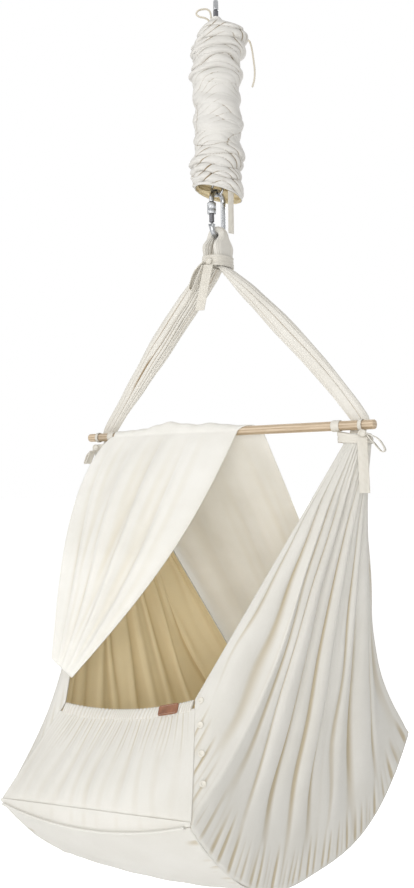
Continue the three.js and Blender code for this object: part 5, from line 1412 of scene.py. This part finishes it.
# ---------------------------------------------------------------- veil
def veil_points(u, v, fine=1.0):
    """The canopy veil: u from its left to its right edge, v from its back foot over the bar to its
    front foot. Slanting soft folds run down both halves and the crown is bunched over the bar."""
    r = BAR_RADIUS + TOUCH + 1.2
    back_x = BAR_SHIFT + lerp(-260.0, 100.0, u)
    front_x = BAR_SHIFT + lerp(-260.0, 57.0, u)
    share = np.clip(3 * v - 1, 0, 1)
    bunch = 15.0 * np.sin(math.pi * u) ** 2 * (0.75 + 0.25 * np.cos(5 * math.pi * u))
    turn = math.pi * share
    over = stack(lerp(back_x, front_x, share), r * np.cos(turn), BAR_Z + (r + bunch) * np.sin(turn))
    fold = 5.0 * np.cos(TAU * 3.5 * u) * lerp(1, 0.7, fine)
    small = 1.3 * waves(u * 5, v * 1.5, 101, 7, 0.6, 1.6) + 0.8 * waves(u * 14, v * 1.2, 102, 7, 0.6, 1.4)
    fold = fold + fine * small * 0.4
    t = np.clip(1 - 3 * v, 0, 1)
    foot = flap_points(1, lerp(-1.14, 0.92, u), np.ones(np.shape(u)), None) + np.array([0, 9.0, 0])
    back = lerp(stack(back_x, r + 0 * u, BAR_Z + 0 * u), foot, t[..., None])
    back = back + stack(-40.0 * (1 - u) ** 2, fold + 9.0, 0 * u) * np.sin(math.pi * t)[..., None]
    t = np.clip(3 * v - 2, 0, 1)
    foot = lerp(gather_points(-1, np.array(0.0)), panel_edge(-1, np.array(0.0)), 0.91)
    foot = foot + stack(14.0 - 52.0 * (1 - u), -9.0 + 0 * u, 28.0 * (1 - u))
    front = lerp(stack(front_x, -r + 0 * u, BAR_Z + 0 * u), foot, t[..., None])
    left = 51.0 * (1 - u) ** 2 * np.sin(math.pi * t**0.6)
    right = 43.0 * u * u * np.sin(math.pi * t)
    edge = np.sin(math.pi * u) ** 0.5
    slant = u - 0.20 * t + 0.02 * np.sin(4 * t)
    broad = valleys(slant, (0.10, 0.30, 0.50, 0.70), (0.035, 0.05, 0.05, 0.05), (9.0, 15.0, 16.0, 14.0))
    folds = (fold - fine * broad) * np.sin(math.pi * t) ** 0.7 * np.where(u > 0, edge, 0)
    front = front + stack(right - left, -folds - 9.0 * np.sin(math.pi * t), 0 * u)
    crown_ripple = fine * 1.2 * np.sin(TAU * (9 * u + 0.5 * np.sin(5 * u))) * np.sin(math.pi * share)
    over[..., 2] += crown_ripple * np.sin(math.pi * u)
    return np.where((v < 1 / 3)[..., None], back, np.where((v > 2 / 3)[..., None], front, over))


def make_veil():
    """The veil as one sheet with turned hems."""
    v = np.concatenate([np.linspace(0, 1 / 3, 105, endpoint=False), np.linspace(1 / 3, 2 / 3, 36, endpoint=False),
                        np.linspace(2 / 3, 1, 111)])
    u, v = np.meshgrid(np.linspace(0, 1, 181), v, indexing="ij")
    grid = veil_points(u, v)
    thick = 0.9 + 0.9 * (np.minimum(u, 1 - u) < 0.03) + 0.9 * (np.minimum(v, 1 - v) < 0.008)
    veil = cloth("draped_canopy_veil", grid, thick, VEIL, facing=(-1, 0, 1))
    finish_piece(veil, "cradle", "voile", "canopy_veil")


make_veil()


# ---------------------------------------------------------------- stage and light
def make_stage():
    """A pale floor far below, four studio lamps of which the fill casts no shadow, and a world that is
    white for the camera and dimmer for the light it gives."""
    bpy.context.scene.view_settings.view_transform = "Standard"
    world = bpy.data.worlds.new("studio")
    bpy.context.scene.world = world
    world.use_nodes = True
    tree = world.node_tree
    back = tree.nodes["Background"]
    direct = direct_rays(tree)
    strength = node(tree, "ShaderNodeMapRange")
    strength.inputs["To Min"].default_value, strength.inputs["To Max"].default_value = 0.62, 1.0
    tree.links.new(direct, strength.inputs["Value"])
    tree.links.new(strength.outputs[0], back.inputs["Strength"])
    colour = node(tree, "ShaderNodeMix", data_type="RGBA")
    colour.inputs["A"].default_value, colour.inputs["B"].default_value = (1, 0.997, 0.99, 1), (1, 1, 1, 1)
    tree.links.new(direct, colour.inputs["Factor"])
    tree.links.new(colour.outputs["Result"], back.inputs["Color"])

    def lamp(name, place, aim, size, power, shadow=True):
        light = bpy.data.lights.new(name, "AREA")
        light.shape, light.size, light.energy = "DISK", size, power
        obj = bpy.data.objects.new(name, light)
        bpy.context.scene.collection.objects.link(obj)
        ahead = unit(np.array(aim, float) - np.array(place, float))
        right = unit(np.cross(ahead, [0, 0, 1.0]))
        matrix = np.eye(4)
        matrix[:3, 0], matrix[:3, 1], matrix[:3, 2] = right, np.cross(right, ahead), -ahead
        matrix[:3, 3] = place
        obj.matrix_world = Matrix(matrix.tolist())
        obj.visible_camera = False
        light.use_shadow = shadow

    lamp("key", (-1.8, -2.9, 0.8), (0, 0, -1.2), 1.6, 21.5)
    lamp("front", (1.6, -2.8, -0.7), (0, 0, -1.2), 1.8, 31)
    lamp("soft fill", (0.5, -2.9, -1.1), (0, 0, -1.2), 1.8, 18, shadow=False)
    lamp("back", (-0.7, 2.9, 0.1), (0, 0, -1.2), 1.8, 48)

    floor = bpy.data.meshes.new("floor")
    z, r = -2.3, 60.0
    floor.from_pydata([(-r, -r, z), (r, -r, z), (r, r, z), (-r, r, z)], [], [(0, 1, 2, 3)])
    obj = bpy.data.objects.new("floor", floor)
    bpy.context.scene.collection.objects.link(obj)
    material, tree, shader, _, _ = clouded(
        "pale studio floor", 0.3, 0.7, ((0.93, 0.93, 0.93, 1), (0.95, 0.95, 0.95, 1)), 0.9, in_Scale=3.0)
    lift = node(tree, "ShaderNodeMath", operation="MULTIPLY")
    lift.inputs[1].default_value = 0.5
    tree.links.new(direct_rays(tree), lift.inputs[0])
    shader.inputs["Emission Color"].default_value = (1, 1, 1, 1)
    tree.links.new(lift.outputs[0], shader.inputs["Emission Strength"])
    floor.materials.append(material)


make_stage()
